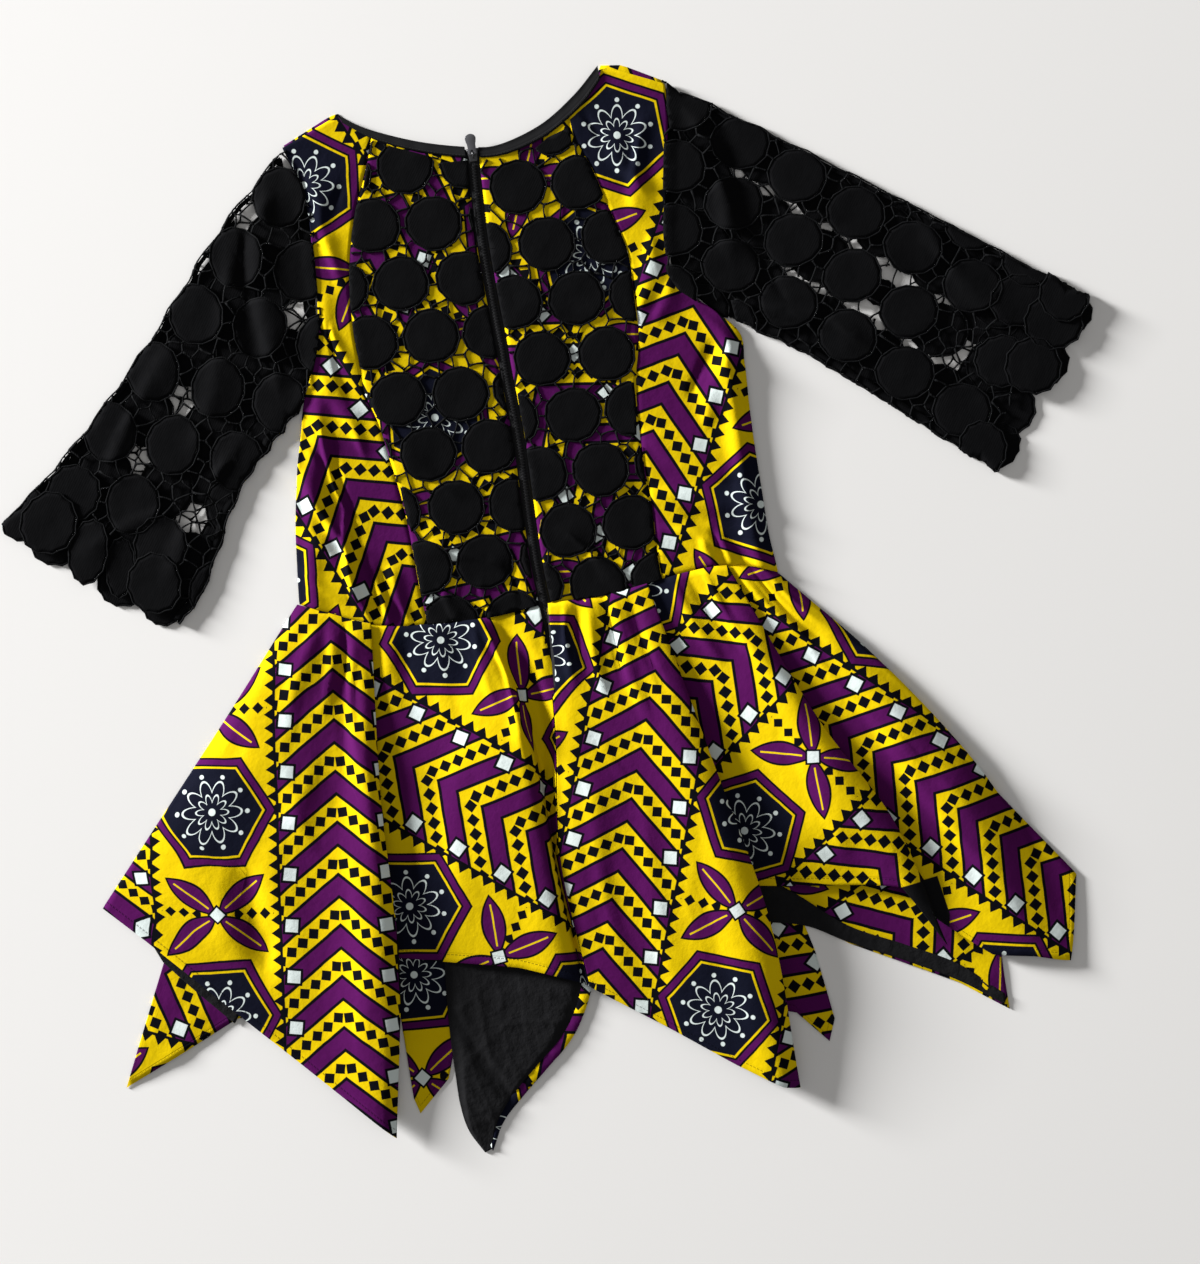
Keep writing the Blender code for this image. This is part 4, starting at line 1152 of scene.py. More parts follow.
# Creases of the skirt, as those of the bodice.
SKIRT_CREASES = (
    (-214, 20, -262, -80, 7, 2.2), (-200, 22, -224, -60, 6, 2.0), (-190, 20, -206, -50, 4, -1.8),
    (-180, 14, -196, -120, 7, 2.0), (-240, -110, -300, -250, 14, 1.8), (-300, -90, -380, -210, 13, 1.6),
    (-270, -150, -330, -300, 9, -1.2), (-214, -200, -240, -380, 12, 1.6), (-150, 8, -156, -70, 6, 2.0),
    (-132, 8, -138, -80, 5, -1.7), (-112, 5, -112, -90, 6, 1.9), (-92, 5, -88, -60, 4, -1.5),
    (-70, 4, -62, -80, 5, 1.6), (-104, -120, -120, -280, 12, 1.4), (-30, 4, -16, -90, 6, 1.6),
    (-60, -4, -43, -120, 8, 4.6), (-46, -8, -29, -128, 7, -6.0), (-316, -180, -310, -292, 13, -3.4),
    (-342, -170, -344, -270, 12, 1.6), (16, 4, 12, -70, 4.5, 2.2), (26, 4, 24, -60, 3.5, -2.2),
    (38, 4, 40, -90, 5, 2.8), (50, 5, 56, -70, 4, -2.4), (62, 6, 74, -110, 6, 2.9),
    (76, 8, 96, -90, 5, -2.2), (20, -150, 16, -330, 12, 1.6), (60, -180, 70, -400, 13, 1.4),
    (106, -200, 118, -420, 10, -1.4), (118, 12, 150, -70, 5, 2.4), (132, 14, 168, -60, 4, -2.0),
    (148, 14, 190, -80, 5, 2.4), (178, 14, 230, -60, 5, 2.4), (192, 10, 250, -70, 4, -2.0),
    (204, 6, 270, -70, 6, 1.7), (298, -162, 352, -230, 3.2, 1.3), (314, -158, 362, -214, 2.8, -1.0),
    (230, -60, 262, -120, 4, 1.2), (-300, -60, -352, -150, 4, -0.9), (-262, -90, -250, -190, 5, 1.0),
    (-330, -180, -350, -290, 4, 0.9), (-206, -60, -222, -150, 3.5, -0.8),
    (28, -120, 60, -190, 3.5, 0.9), (-100, -200, -84, -290, 4, 0.8), (96, -240, 92, -350, 4, 0.9),
    (200, -150, 236, -270, 12, 1.4), (290, -150, 366, -300, 13, 1.7), (330, -160, 410, -300, 9, -1.2),
    (262, -120, 316, -220, 8, 1.4),
)

# Islands of each half's print between its fold lines: first, last and start column of the mesh,
# turn, and middle of the print.
LEFT_PRINT = ((0, 64, 24, -7, (-200, 40)), (64, 120, 96, 52, (-100, -160)))
RIGHT_PRINT = (
    (0, 64, 24, -20, (20, -260)), (64, 128, 96, -52, (150, -80)), (128, 168, 152, 48, (300, -200)),
)

# Corner of the right half that is turned over and shows its black side: x, y.
TURNED_CORNER = [(280, -304), (292, -328), (317, -368), (323, -336), (317, -299)]


def through(points, steps, sharp=0.0):
    """Points of a smooth curve through points (first axis), with so many steps to each interval.

    sharp, from 0 to 1, straightens it between the points.
    """
    reach = np.linalg.norm(np.diff(points, axis=0), axis=-1, keepdims=True)
    spans = np.sqrt(np.maximum(reach, 1e-6))
    slopes = np.diff(points, axis=0) / spans
    share = spans[:-1] / (spans[:-1] + spans[1:])
    tangents = np.concatenate([slopes[:1], slopes[:-1] * (1 - share) + slopes[1:] * share, slopes[-1:]])
    found = []
    for index, (start, end, span) in enumerate(zip(points, points[1:], spans)):
        for t in np.arange(steps) / steps:
            curved = curve_step(t, start, end, tangents[index] * span, tangents[index + 1] * span)
            found.append(curved * (1 - sharp) + (start * (1 - t) + end * t) * sharp)
    return np.array([*found, points[-1]])


def skirt_surface(table, side):
    """Middle points of a back skirt from its fold lines. side is -1 or 1: left or right of the zip."""
    rows = [((row[1], waist(row[1]) - 0.2, row[2]), row[3:6], row[6:9], row[9:12]) for row in table]
    down = through(np.swapaxes(np.array(rows, dtype=float), 0, 1), 26)
    grid = []
    for share, points in zip(np.linspace(0, 1, len(down)), down):
        row = through(points, 8)
        row[:, :2] = through(points, 8, 0.75 * ease((share - 0.72) / 0.28))[:, :2]
        grid.append(row)
    grid = np.array(grid)
    grid[0, :, 1] = waist(grid[0, :, 0]) - 0.2
    # Flutes stand steeper than their fold lines: 0.85 of the height from 5 to 10 mm, 1.75 above.
    level = grid[..., 2]
    steep = 0.85 * np.clip(level - 5.0, 0.0, 5.0) + 1.75 * np.maximum(level - 10.0, 0.0)
    grid[..., 2] = np.minimum(level, 5.0) + steep
    # The centre seam stands open at the zip.
    centre = grid[:, -1 if side < 0 else 0]
    y = centre[:, 1]
    half = CENTRE_GAP + (HALF_ZIP - CENTRE_GAP) * ease((y - ZIP_END_Y) / 38.0)
    centre[:, 0] = np.where(y > ZIP_END_Y, seam(3, y), centre[:, 0]) + side * half
    return grid


def unrolled(grid, first, last, start, angle, move):
    """Flat places of a folded cloth's columns first to last, laid out from column start.

    The result is turned by an angle in degrees and moved; other columns get zeros.
    """
    flat = np.zeros((*grid.shape[:2], 2))
    steps = np.diff(grid[:, start], axis=0)
    walk = unit(steps[:, :2]) * np.linalg.norm(steps, axis=1, keepdims=True)
    flat[:, start] = grid[0, start, :2]
    flat[1:, start] += np.cumsum(walk, axis=0)
    for side, stop in ((1, last), (-1, first)):
        for column in range(start, stop, side):
            solid = unit(np.gradient(grid[:, column], axis=0))
            drawn = unit(np.gradient(flat[:, column], axis=0))
            edge = grid[:, column + side] - grid[:, column]
            down = np.sum(edge * solid, axis=1)
            across = np.sqrt(np.maximum(np.sum(edge * edge, axis=1) - down**2, 0.0))
            placed = flat[:, column] + drawn * down[:, None] + left_of(drawn) * (side * across)[:, None]
            placed[1:-1] = placed[1:-1] * 0.6 + (placed[:-2] + placed[2:]) * 0.2
            flat[:, column + side] = placed
    return turned(flat, angle, move)


def hem_map(grid):
    """Each point's place along the hem and its distance from it."""
    along = np.append(0.0, np.cumsum(np.linalg.norm(np.diff(grid[-1], axis=0), axis=1)))
    lengths = np.linalg.norm(np.diff(grid, axis=0), axis=2)
    up = np.concatenate([np.cumsum(lengths[::-1], axis=0)[::-1], np.zeros((1, grid.shape[1]))])
    return np.stack([np.broadcast_to(along, up.shape), up], axis=-1)


def laid_skirt(name, table, side, islands, cloth):
    """A back skirt with its creases, and its print laid out flat."""
    grid = skirt_surface(table, side)
    lift = creased(grid[..., 0], grid[..., 1], SKIRT_CREASES, 1.3) + rumple(grid[..., 0], grid[..., 1], 1.3)
    up = np.clip(grid_normals(grid)[..., 2], 0.0, 1.0)
    rows = np.linspace(0.0, 1.0, grid.shape[0])[:, None]
    lift = lift * ease(up / 0.7) * (0.6 + 0.4 * ease(rows / 0.08))
    lift = lift + pressed(rows * SKIRT_LENGTH, 4.0, 0.8)
    grid[..., 2] = np.maximum(grid[..., 2] + lift, LOWEST_Z)
    flats = [(first, last, unrolled(grid, first, last, *rest)) for first, last, *rest in islands]
    skirt = cloth_shell(name + "_cloth", grid, PRINT_THICKNESS, [cloth, LINING], flats, hem_map(grid))
    sewn(skirt)


turned_print = print_cloth("wax_print_corner", TURNED_CORNER)
laid_skirt("skirt_back_left", LEFT_SKIRT, -1, LEFT_PRINT, WAX_PRINT)
laid_skirt("skirt_back_right", RIGHT_SKIRT, 1, RIGHT_PRINT, turned_print)

# ---------------------------------------------------------------------------------------------
# Skirt front: printed cotton, flat on the floor under the back skirt. Its points show between and
# below the back's points, some print side up where the hem has turned over.
# ---------------------------------------------------------------------------------------------

# Front skirt on the floor, left to right: name, x at the waist, x and y at the hem.
FRONT_SKIRT = (
    ("left edge", -228, -444, -204), ("left dip", -218, -403, -260), ("left point", -205, -458, -374),
    ("left point side", -193, -402, -351), ("left notch", -179, -346, -327),
    ("under the fold", -162, -258, -324), ("strip notch", -146, -196, -320),
    ("strip left", -137, -196, -426), ("strip tip", -130, -192, -441), ("strip right", -120, -161, -413),
    ("middle left", -102, -139, -352), ("middle", -45, -73, -340), ("middle right", 12, 28, -356),
    ("sliver left", 68, 168, -404), ("sliver tip", 79, 194, -435), ("sliver right", 87, 202, -415),
    ("sliver neck", 97, 194, -350), ("right notch", 108, 186, -315), ("band start", 120, 226, -348),
    ("band middle", 135, 274, -374), ("band end", 150, 321, -400), ("right tip", 166, 364, -432),
    ("right tip side", 179, 364, -400), ("under the edge", 192, 365, -372),
    ("right edge", 213, 439, -312),
)

# Swells of the front's points where they show: middle x, y, reach, and height.
FRONT_SWELLS = (
    (-400, -330, 45, 2.6), (-430, -352, 22, 1.4), (-178, -392, 20, 2.4), (190, -400, 22, 2.2),
    (300, -352, 40, 1.8), (350, -405, 20, 2.0),
)
FRONT_PRINT = (
    (0, 30, 66, (-350, -300)), (30, 72, -4, (-300, -400)), (72, 102, 40, (150, -380)),
    (102, 144, -62, (300, -330)),
)

points = range(len(FRONT_SKIRT))
places = np.linspace(0, points[-1], points[-1] * 6 + 1)
waist_x, hem_x, hem_y = (np.interp(places, points, pick(FRONT_SKIRT, column)) for column in (1, 2, 3))
waist_y = waist(waist_x) - 0.4
share = np.linspace(0.0, 1.0, 60)[:, None]
x = waist_x + (hem_x - waist_x) * share
y = waist_y + (hem_y - waist_y) * share
z = np.full_like(x, FRONT_Z)
for swell_x, swell_y, reach, rise in FRONT_SWELLS:
    away = ((x - swell_x) ** 2 + (y - swell_y) ** 2) / reach**2
    z += rise * np.exp(-away) * (0.75 + 0.25 * np.sin(x / 7.0) * np.sin(y / 9.0))
grid = np.stack([x, y, z], axis=-1)
flats = [(first, last, turned(grid, *rest)) for first, last, *rest in FRONT_PRINT]
cloth = [WAX_PRINT, LINING]
skirt_front = cloth_shell("skirt_front_cloth", grid, PRINT_THICKNESS, cloth, flats, hem_map(grid))
sewn(skirt_front)

# ---------------------------------------------------------------------------------------------
# Skirt lining: thin black polyester inside the front skirt, seen where its points have turned
# their inner side up: a wide crinkled point in the middle and a strip along the hem each side.
# ---------------------------------------------------------------------------------------------

LINING_THICKNESS = 0.5

# Lining that shows, row by row: x and y of its one edge, x and y of its other edge, height.
LEFT_LINING = ((-415, -242, -406, -264, 2.1), (-390, -268, -385, -290, 2.1), (-340, -318, -349, -331, 2.1))
MIDDLE_LINING = (
    (-146, -278, -14, -316, 2.1), (-148, -309, -21.5, -346, 2.1), (-151, -341, -31.5, -367.5, 2.1),
    (-153, -374, -47.5, -391, 2.1), (-154, -411, -74.5, -414, 1.9), (-154, -440, -99.5, -435, 1.2),
    (-150, -464, -120.5, -458.5, 0.8), (-138.5, -486.5, -131.7, -484, 0.6),
)
RIGHT_LINING = (
    (151, -269, 152, -316, 2.1), (187, -297, 190, -326, 2.1), (228, -332, 226, -347, 2.1),
    (276, -357, 275, -372, 2.1), (323, -383, 321, -398, 2.1), (362, -418, 360, -427, 2.1),
)


def strip_surface(table, along_steps, across_steps):
    """Middle points of a strip from rows of two edges and a height, smooth along its length."""
    rows = np.array(table, dtype=float)
    first, second = (through(rows[:, columns], along_steps)[:, None] for columns in ([0, 1, 4], [2, 3, 4]))
    shares = np.linspace(0.0, 1.0, across_steps)[:, None]
    return first * (1 - shares) + second * shares


def crinkle(x, y):
    """Sharp small folds of thin lining that has been crushed."""
    bend = 8 * np.sin(y / 23.0) + 6 * np.sin(x / 17.0 + 1.0)
    first = 1 - abs(np.sin((x * 0.9 + y * 0.35 + bend) / 15.0))
    second = 1 - abs(np.sin((x * 0.3 - y * 0.8 + bend * 1.6) / 19.0 + 0.7))
    third = 1 - abs(np.sin((x + y + bend * 0.6) / 9.0 + 2.0))
    fourth = 1 - abs(np.sin((x + y * 0.12 + bend * 0.5) / 6.5))
    return 0.55 * first**3 + 0.6 * second**4 + 0.5 * third**3 + 0.45 * fourth**2


def point_fold(x, y):
    """The slanting crease across the middle point: cloth dips to it from both sides."""
    aside = (x + 148.0) * 0.894 + (y + 354.0) * 0.447
    return (2.6 * ease(-aside / 15.0) + 1.5 * ease(aside / 6.0)) * ease((-322.0 - y) / 30.0)


def lining_piece(place, grid, lift):
    """A lining strip, raised by its crinkles."""
    grid[..., 2] += lift
    flats = [(0, grid.shape[1] - 1, turned(grid, 12))]
    lining = cloth_shell(f"skirt_lining_{place}_cloth", grid, LINING_THICKNESS, [LINING], flats)
    return sewn(lining)


grid = strip_surface(MIDDLE_LINING, 14, 60)
from_edge = np.minimum(np.linspace(0, 1, 60), np.linspace(1, 0, 60))
from_tip = ease(np.linspace(1, 0, len(grid)) / 0.25)[:, None]
lift = crinkle(grid[..., 0], grid[..., 1]) + point_fold(grid[..., 0], grid[..., 1]) + 0.8
lift = lift * ease(from_edge / 0.12) * (0.25 + 0.75 * from_tip)
lining_middle = lining_piece("middle", grid, lift)
for place, table, flat, area in (
    ("left", LEFT_LINING, (0.014, 0.104), 0.0012),
    ("right", RIGHT_LINING, (0.040, 0.262), 0.0044),
):
    grid = np.swapaxes(strip_surface(table, 20, 9), 0, 1)
    lining_piece(place, grid, 0.35 * crinkle(grid[..., 0] * 1.7, grid[..., 1] * 1.7))

# ---------------------------------------------------------------------------------------------
# Hem of the middle point: the print turned up over the lining and stitched down, a narrow strip
# along the right edge from the fold to the tip.
# ---------------------------------------------------------------------------------------------

MIDDLE_HEM = (
    (-24.4, -344, -15, -348, 2.1), (-33.6, -366, -26, -371, 2.1), (-49.6, -389, -42.5, -395, 2.1),
    (-76.6, -412, -70, -419, 1.9), (-101.6, -433, -95, -440, 1.2), (-122.4, -457, -117, -461, 0.8),
    (-132.5, -480, -131, -486, 0.7),
)

grid = strip_surface(MIDDLE_HEM, 16, 11)
round_strip = np.clip(np.sin(np.linspace(0, 1, 11) * math.pi), 0, 1)
puckers = 0.25 * np.sin(np.arange(len(grid)) * 0.8)[:, None]
grid[..., 2] += 1.1 * np.sqrt(round_strip) + puckers * round_strip
flats = [(0, 10, turned(grid, 30, (-40, -400)))]
hem = cloth_shell("skirt_hem_middle_cloth", grid, PRINT_THICKNESS, [WAX_PRINT], flats)
sewn(hem)

# ---------------------------------------------------------------------------------------------
# Neck bindings: black cotton strips cut on the bias, folded over the raw neck edge and stitched
# through. The back one ends on both sides of the zip, and the front one lies on the floor.
# ---------------------------------------------------------------------------------------------

# Necklines: x and y of the binding's outer edge, then of its inner edge.
BACK_NECK = (
    (-121, 486, -117, 478.5), (-93, 468.5, -89, 458), (-49, 450, -48, 440), (-4, 438, -4, 428),
    (24, 436, 28, 426), (64, 448, 68, 437), (98, 469.5, 104, 459), (125.5, 494, 129, 484),
)
FRONT_NECK = (
    (-120, 487, -112, 479), (-92, 467, -87.5, 459.4), (-50, 445, -47.5, 436.4), (0, 427, 0, 418.4),
    (52, 433, 50, 424.4), (98, 464, 96, 456.4), (126, 493, 121.5, 482),
)
ZIP_TOP = 433.0
BINDING_SIDES = 20


def binding_cloth():
    """Black cotton binding: a fine weave that runs slanting, and one row of stitches."""
    make = Finish("black_binding")
    along, across, place = make.map("cloth")
    thread = make.noise(place, 30.0, 3.0)
    twill = ((along + across) * 5.0).math("SINE") * 0.2 + thread * 0.5
    stitch = (abs(along.repeat(3.0)) - 1.05).inside(0.3) * (abs(across - 1.9) - 0.3).inside(0.2)
    shade = make.colour(thread * 0.8, shade_of(0.0050, 0.0050, 0.0056), shade_of(0.0105, 0.0105, 0.0115))
    shade = make.colour(stitch, shade, shade_of(0.020, 0.020, 0.022))
    dents = stitch - (abs(across - 1.9) - 0.7).inside(0.8) * 0.8
    normal = make.bump(dents, 0.0005, 0.8, make.bump(twill, 0.0002, 0.5))
    return make.finished(shade, 0.72 + thread * 0.15, 0.14, Normal=normal)


BINDING = binding_cloth()


def squared(wave, power):
    """A wave with its curves drawn out towards square corners."""
    return np.sign(wave) * np.abs(wave) ** power


def binding(name, table, ends, heights, seed):
    """A folded strip between two x places of its outer edge, closed round, between two heights."""
    count = range(len(table))
    places = np.linspace(0, count[-1], 400)
    outer, inner = (
        np.stack([smooth(count, pick(table, column + axis), places) for axis in (0, 1)], axis=1)
        for column in (0, 2)
    )
    chosen = (outer[:, 0] >= ends[0]) & (outer[:, 0] <= ends[1])
    outer, inner = outer[chosen], inner[chosen]
    inner[:, 0] = np.clip(inner[:, 0], *ends)
    turns = round_turns(BINDING_SIDES)
    across = 0.5 + 0.5 * squared(np.cos(turns), 0.45)
    up = 0.5 + 0.5 * squared(np.sin(turns), 0.6)
    along = np.append(0.0, np.cumsum(np.linalg.norm(np.diff(outer, axis=0), axis=1)))[:, None]
    pull = 0.5 * np.sin(along / 5.3 + seed) * np.sin(along / 17.0) + 0.35 * np.sin(along / 3.1)
    dent = 1.0 - 0.28 * np.exp(-(((across - 0.78) * 10 / 1.3) ** 2)) * (up > 0.5)
    spots = inner[:, None] + (outer - inner)[:, None] * across[:, None]
    level = heights[0] + (heights[1] - heights[0]) * up * dent
    level = level + pull * 0.22 * np.sin(across * math.pi) * (up > 0.5)
    points = np.concatenate([spots, level[..., None]], axis=2).reshape(-1, 3)
    cloth_across = across * 10.0 * np.sign(up - 0.4)
    corners = np.stack(np.broadcast_arrays(along, cloth_across), axis=-1).reshape(-1, 2)
    faces = skin(len(outer), BINDING_SIDES, inside_out=True)
    maps = {"cloth": corners[np.concatenate(faces)]}
    strip = mesh_piece(name + "_strip", points, faces, [BINDING], None, maps)
    sewn(strip)


zip_top_x = float(seam(3, ZIP_TOP))
binding(
    "neck_binding_back_left", BACK_NECK, (-120.6, zip_top_x - HALF_ZIP), (3.9, 6.7), 0.3,
)
binding(
    "neck_binding_back_right", BACK_NECK, (zip_top_x + HALF_ZIP, 125.2), (3.9, 6.7), 1.9,
)
binding("neck_binding_front", FRONT_NECK, (-119.0, 124.5), (0.1, 1.7), 0.8)

# ---------------------------------------------------------------------------------------------
# Zip: two woven tapes whose edges meet under a nylon chain, from the neck to the skirt, and a
# black lacquered slider. The chain's coils are sewn along the tapes' meeting edges.
# ---------------------------------------------------------------------------------------------

TAPE_WIDTH = 10.5
TAPE_GAP = 0.15
TAPE_THICKNESS = 0.6
TAPE_Z = 3.3
CHAIN_HALF = 2.3
CHAIN_TOP = 421.5
COIL_STEP = 1.3
COIL_PLACES = (-1.0, -0.72, 0.0, 0.72, 1.0)
COIL_HEIGHTS = (4.25, 4.55, 4.62, 4.55, 4.25)
COIL_RADII = (0.42, 0.56, 0.58, 0.56, 0.42)


def tape_cloth():
    """Woven polyester tape with a herringbone."""
    make = Finish("zip_tape")
    along, across, place = make.map("cloth")
    thread = make.noise(place, 50.0, 3.0)
    weave = ((along + abs(across.repeat(2.4)) * 1.4) * 4.5).math("SINE") * 0.25 + thread * 0.4
    shade = make.colour(thread, shade_of(0.0060, 0.0060, 0.0066), shade_of(0.0130, 0.0130, 0.0142))
    return make.finished(shade, 0.68 + thread * 0.15, 0.14, Normal=make.bump(weave, 0.0003, 0.6))


ZIP_TAPE = tape_cloth()


def zip_tape(name, side):
    """One tape, with a raised cord beside the chain, from the neck to below the opening."""
    levels = np.linspace(ZIP_TOP + 3.0, ZIP_END_Y - 8.0, 240)[:, None]
    shares = np.linspace(0.0, 1.0, 15)
    width = TAPE_WIDTH * (shares if side > 0 else 1 - shares)
    x = seam(3, levels) + side * (TAPE_GAP + width)
    z = TAPE_Z + 0.75 * np.exp(-((width / 2.6) ** 2)) + 0.5 * np.exp(-(((width - 3.4) / 0.7) ** 2))
    grid = np.stack(np.broadcast_arrays(x, levels, z), axis=-1)
    flat = np.stack([-grid[..., 1], abs(x - seam(3, levels))], axis=-1)
    tape = cloth_shell(name + "_cloth", grid, TAPE_THICKNESS, [ZIP_TAPE], [(0, 14, flat)])
    sewn(tape)


def coil_finish():
    """Black nylon of the zip's coils, worn a little grey where the slider rubs."""
    make = Finish("zip_coil")
    wear = make.noise(make.node("ShaderNodeTexCoord", output=3), 180.0, 3.0)
    shade = make.colour(wear * 0.9, shade_of(0.0042, 0.0042, 0.0048), shade_of(0.0110, 0.0110, 0.0120))
    return make.finished(shade, 0.6 + wear * 0.2, 0.12)


zip_tape("zip_tape_left", -1)
zip_tape("zip_tape_right", 1)

# Closed coils are short rounded bars across the meeting line, in turn from each side.
coils = Strands()
for index, level in enumerate(np.arange(ZIP_END_Y - 2.0, CHAIN_TOP, COIL_STEP)):
    centre = seam(3, level) + (0.45 if index % 2 else -0.45)
    reach = CHAIN_HALF * (ease((level - ZIP_END_Y + 4.0) / 10.0) * 0.5 + 0.5)
    path = [(centre + reach * place, level) for place in COIL_PLACES]
    coils.tube(path, COIL_HEIGHTS, COIL_RADII, squash=1.0)
zip_chain = mesh_piece("zip_chain", np.concatenate(coils.points), coils.faces, [coil_finish()])
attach(zip_chain, "dress")

SLIDER_Y = 430.0
SLIDER_WIDTH = 10.4
SLIDER_LOW = 4.2
SLIDER_HIGH = 6.4
CROWN_TOP = 9.0
PULL_HINGE_Z = 7.3
PULL_WIDTH = 8.4

# The slider's plates and the wedge between them, from the foot up: y, share of the half width (of
# the wedge, half width), and lower and upper z.
PLATE = (
    (-6.0, 0.50, 0.5, 0.9), (-5.7, 0.62, 0.15, 1.0), (-4.6, 0.72, 0.0, 1.05), (-1.0, 0.78, 0.0, 1.05),
    (1.8, 0.92, 0.0, 1.05), (4.2, 1.0, 0.0, 1.05), (5.3, 0.94, 0.05, 1.0), (5.85, 0.8, 0.2, 0.9),
    (6.0, 0.6, 0.4, 0.8),
)
WEDGE = ((2.2, 0.5), (3.0, 1.1), (4.6, 1.5), (5.2, 1.2))


def lacquer(name, depth):
    """Black lacquer on zinc, rubbed to bare grey metal on the edges that hands and tapes touch."""
    make = Finish(name)
    place = make.node("ShaderNodeTexCoord", output=3)
    edge = make.node("ShaderNodeNewGeometry", output=7)
    grime = make.noise(place, 900.0, 4.0, 0.6)
    worn = ((edge - 0.56) * 9.0 + (grime - 0.5) * 1.6).clamp()
    shade = make.colour(worn, shade_of(depth, depth, depth * 1.1), shade_of(0.22, 0.22, 0.23))
    coat = {"Coat_Weight": 0.25, "Coat_Roughness": 0.15}
    normal = make.bump(grime, 0.00005, 0.5)
    return make.finished(shade, 0.24 + grime * 0.2, 0.5, Metallic=worn * 0.9, Normal=normal, **coat)


def rounded_loft(rows, sides=20):
    """A closed smooth body along y from rows of y, half width, lower z and upper z."""
    turns = round_turns(sides)
    wide, high = squared(np.cos(turns), 0.55), squared(np.sin(turns), 0.55)
    rings = [
        np.stack([wide * half, np.full(sides, y), (low + top) / 2 + high * (top - low) / 2], axis=1)
        for y, half, low, top in rows
    ]
    return np.concatenate(rings), skin(len(rows), sides)


def crown():
    """The bridge on the slider that holds the pull: a flat bow from front to back."""
    steps = np.linspace(0, math.pi, 15)
    height = (CROWN_TOP - SLIDER_HIGH + 0.1) * np.sin(steps) ** 0.6
    path = np.stack([-3.0 * np.cos(steps), SLIDER_HIGH - 0.5 + height], axis=1)
    turns = round_turns(10)
    out = left_of(unit(np.gradient(path, axis=0)))[:, None] * (0.4 * np.sin(turns))[:, None]
    ring = path[:, None] + out
    wide = np.broadcast_to(0.75 * np.cos(turns), ring.shape[:2])
    return np.concatenate([wide[..., None], ring], axis=2).reshape(-1, 3), skin(15, 10)


slider_place = (float(seam(3, SLIDER_Y)), SLIDER_Y, 0.0)
half = SLIDER_WIDTH / 2
slider = Strands()
for base, rise in ((SLIDER_LOW, 0.8), (SLIDER_HIGH - 1.1, 1.0)):
    rows = [(y, half * wide, base + low * rise, base + top * rise) for y, wide, low, top in PLATE]
    slider.add(*rounded_loft(rows))
slider.add(*rounded_loft([(y, wide, SLIDER_LOW + 0.4, SLIDER_HIGH - 0.4) for y, wide in WEDGE]))
slider.add(*crown())
points = np.concatenate(slider.points) + slider_place
zip_slider = mesh_piece("zip_slider_body", points, slider.faces, [lacquer("black_lacquer", 0.016)])
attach(zip_slider, "dress")
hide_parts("zip_slider")

# ---------------------------------------------------------------------------------------------
# Zip pull: a cast tab with an eye that hangs on the slider's crown and swings on it. It is turned
# up over the neckline.
# ---------------------------------------------------------------------------------------------

PULL_THICKNESS = 1.0
PULL_BEVEL = 0.22


def arc(middle, wide, high, start, stop, count):
    """Points on an arc of an oval whose middle is on the tab's centre line."""
    return [(wide * math.cos(a), middle + high * math.sin(a)) for a in np.linspace(start, stop, count)]


half = PULL_WIDTH / 2
left_side = [(-half * 1.12, 12.6), (-half * 0.95, 10.0), (-half * 0.90, 7.4), (-half * 0.92, 5.2)]
right_side = [(-x, y) for x, y in reversed(left_side)]
outline = arc(15.2, half * 1.22, 4.3, 0, math.pi, 15) + left_side
outline += arc(1.6, half * 0.95, 2.1, math.pi, 2 * math.pi, 11) + right_side
work = bmesh.new()
edges = []
for ring in (outline, arc(2.2, 1.4, 2.2, 0, 2 * math.pi, 17)[:-1]):
    verts = [work.verts.new((x, y, -PULL_THICKNESS / 2)) for x, y in ring]
    edges += [work.edges.new(pair) for pair in zip(verts, verts[1:] + verts[:1])]
bmesh.ops.triangle_fill(work, edges=edges, use_dissolve=False)
bmesh.ops.recalc_face_normals(work, faces=work.faces[:])
for face in work.faces:
    if face.normal.z > 0:
        face.normal_flip()
grown = bmesh.ops.extrude_face_region(work, geom=work.faces[:])
for item in grown["geom"]:
    if isinstance(item, bmesh.types.BMVert):
        item.co.z += PULL_THICKNESS
bmesh.ops.recalc_face_normals(work, faces=work.faces[:])
rims = [edge for edge in work.edges if abs(edge.calc_face_angle(0.0)) > 1.0]
bmesh.ops.bevel(work, geom=rims, offset=PULL_BEVEL, segments=2, affect="EDGES", profile=0.5)
work.verts.index_update()
points = np.array([vert.co[:] for vert in work.verts]) + slider_place + (0.0, 0.0, PULL_HINGE_Z)
faces = [[vert.index for vert in face.verts] for face in work.faces]
work.free()
zip_pull = mesh_piece("zip_pull_tab", points, faces, [lacquer("rubbed_lacquer", 0.055)])
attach(zip_pull, "zip_pull")
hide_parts("zip_pull")

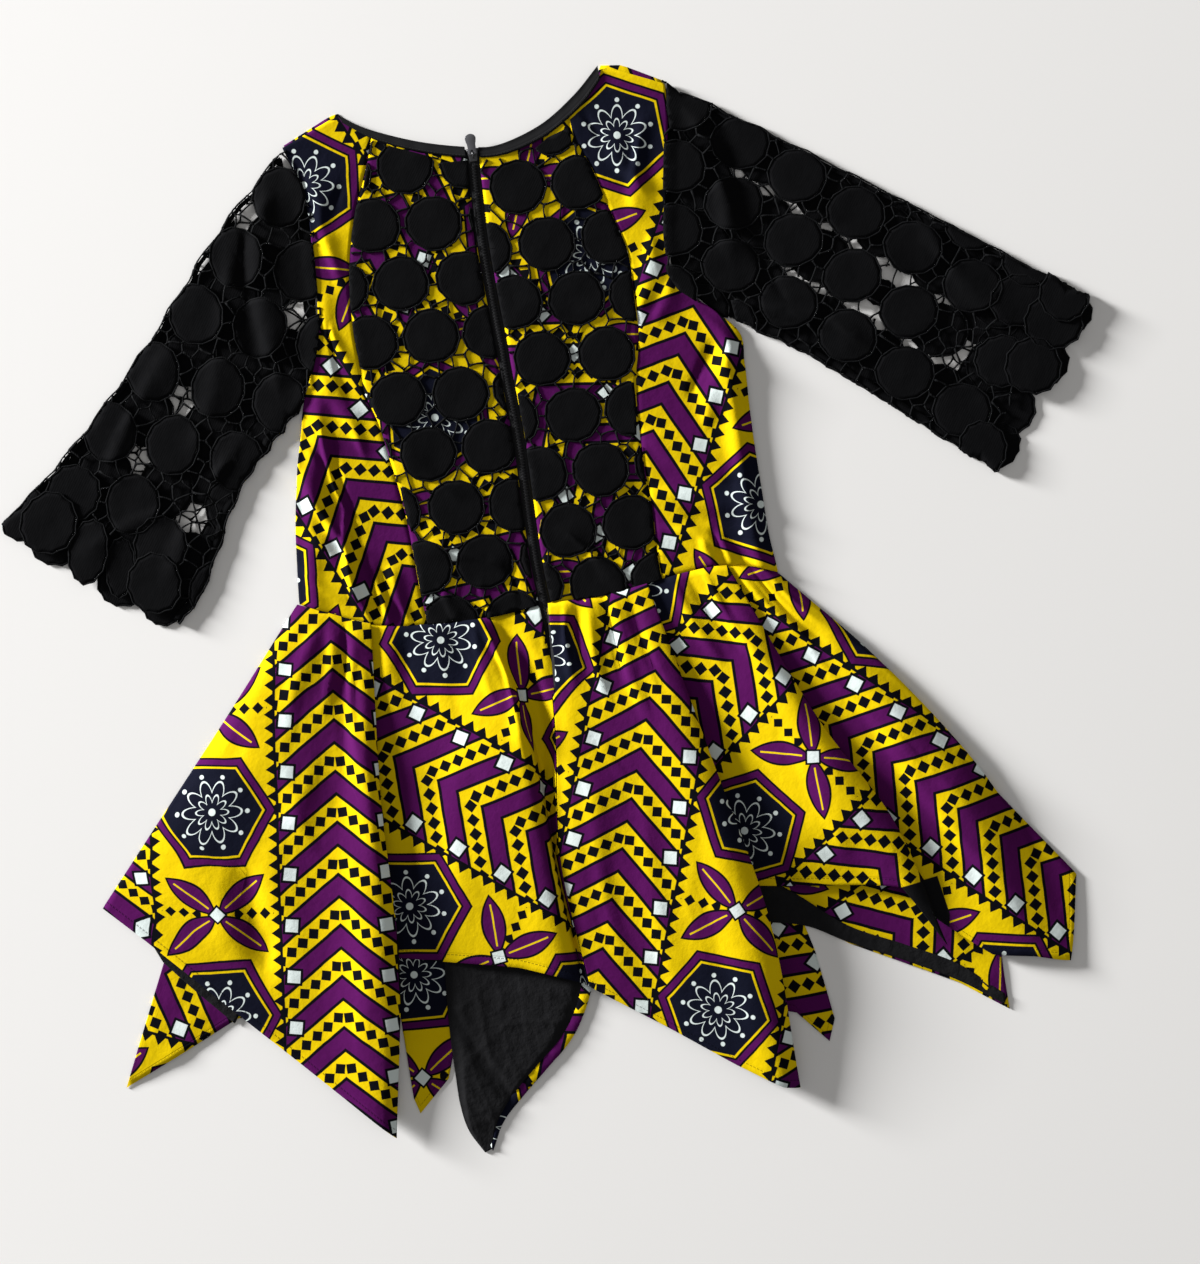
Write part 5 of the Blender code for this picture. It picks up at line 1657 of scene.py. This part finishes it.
# ---------------------------------------------------------------------------------------------
# The floor, the light and the camera.
# ---------------------------------------------------------------------------------------------

FLOOR_SIDE = 30.0
AIM = (0.0180, -0.0295)
CAMERA_HEIGHT = 2.9
VIEW_HEIGHT = 1.1755
SENSOR = 24.0
LEAN = math.radians(-9.15)

scene = bpy.context.scene
scene.view_settings.view_transform = "Standard"
floor_mesh = bpy.data.meshes.new("floor")
half = FLOOR_SIDE / 2
corners = [(-half, -half, 0), (half, -half, 0), (half, half, 0), (-half, half, 0)]
floor_mesh.from_pydata(corners, [], [(0, 1, 2, 3)])
floor_mesh.materials.append(Finish("pale_floor").finished(shade_of(0.80, 0.79, 0.775), 0.9, 0.1))
floor = bpy.data.objects.new("floor", floor_mesh)
scene.collection.objects.link(floor)

world = bpy.data.worlds.new("soft_studio")
world.use_nodes = True
sky = world.node_tree.nodes["Background"].inputs
sky["Color"].default_value = shade_of(1.0, 0.99, 0.98)
sky["Strength"].default_value = 0.27
scene.world = world


def soft_light(name, place, target, width, power):
    """A square studio light with a diffuser, aimed at a point."""
    data = bpy.data.lights.new(name, "AREA")
    data.size = width
    data.energy = power
    lamp = bpy.data.objects.new(name, data)
    lamp.location = place
    back = unit(np.subtract(place, target))
    side = unit(np.cross((0.0, 0.0, 1.0), back))
    turn = np.stack([side, np.cross(back, side), back], axis=1)
    lamp.rotation_euler = mathutils.Matrix(turn.tolist()).to_euler()
    scene.collection.objects.link(lamp)


soft_light("window", (-8.4, 5.4, 2.0), (0.1, 0.0, 0.0), 2.0, 3900.0)
soft_light("overhead", (0.9, -0.6, 3.4), (0.1, 0.0, 0.0), 2.6, 6.0)

lens = bpy.data.cameras.new("camera")
lens.sensor_fit = "VERTICAL"
lens.sensor_height = SENSOR
lens.lens = SENSOR * CAMERA_HEIGHT / VIEW_HEIGHT
camera = bpy.data.objects.new("camera", lens)
camera.location = (*AIM, CAMERA_HEIGHT)
camera.rotation_euler = (0.0, 0.0, LEAN)
scene.collection.objects.link(camera)
scene.camera = camera
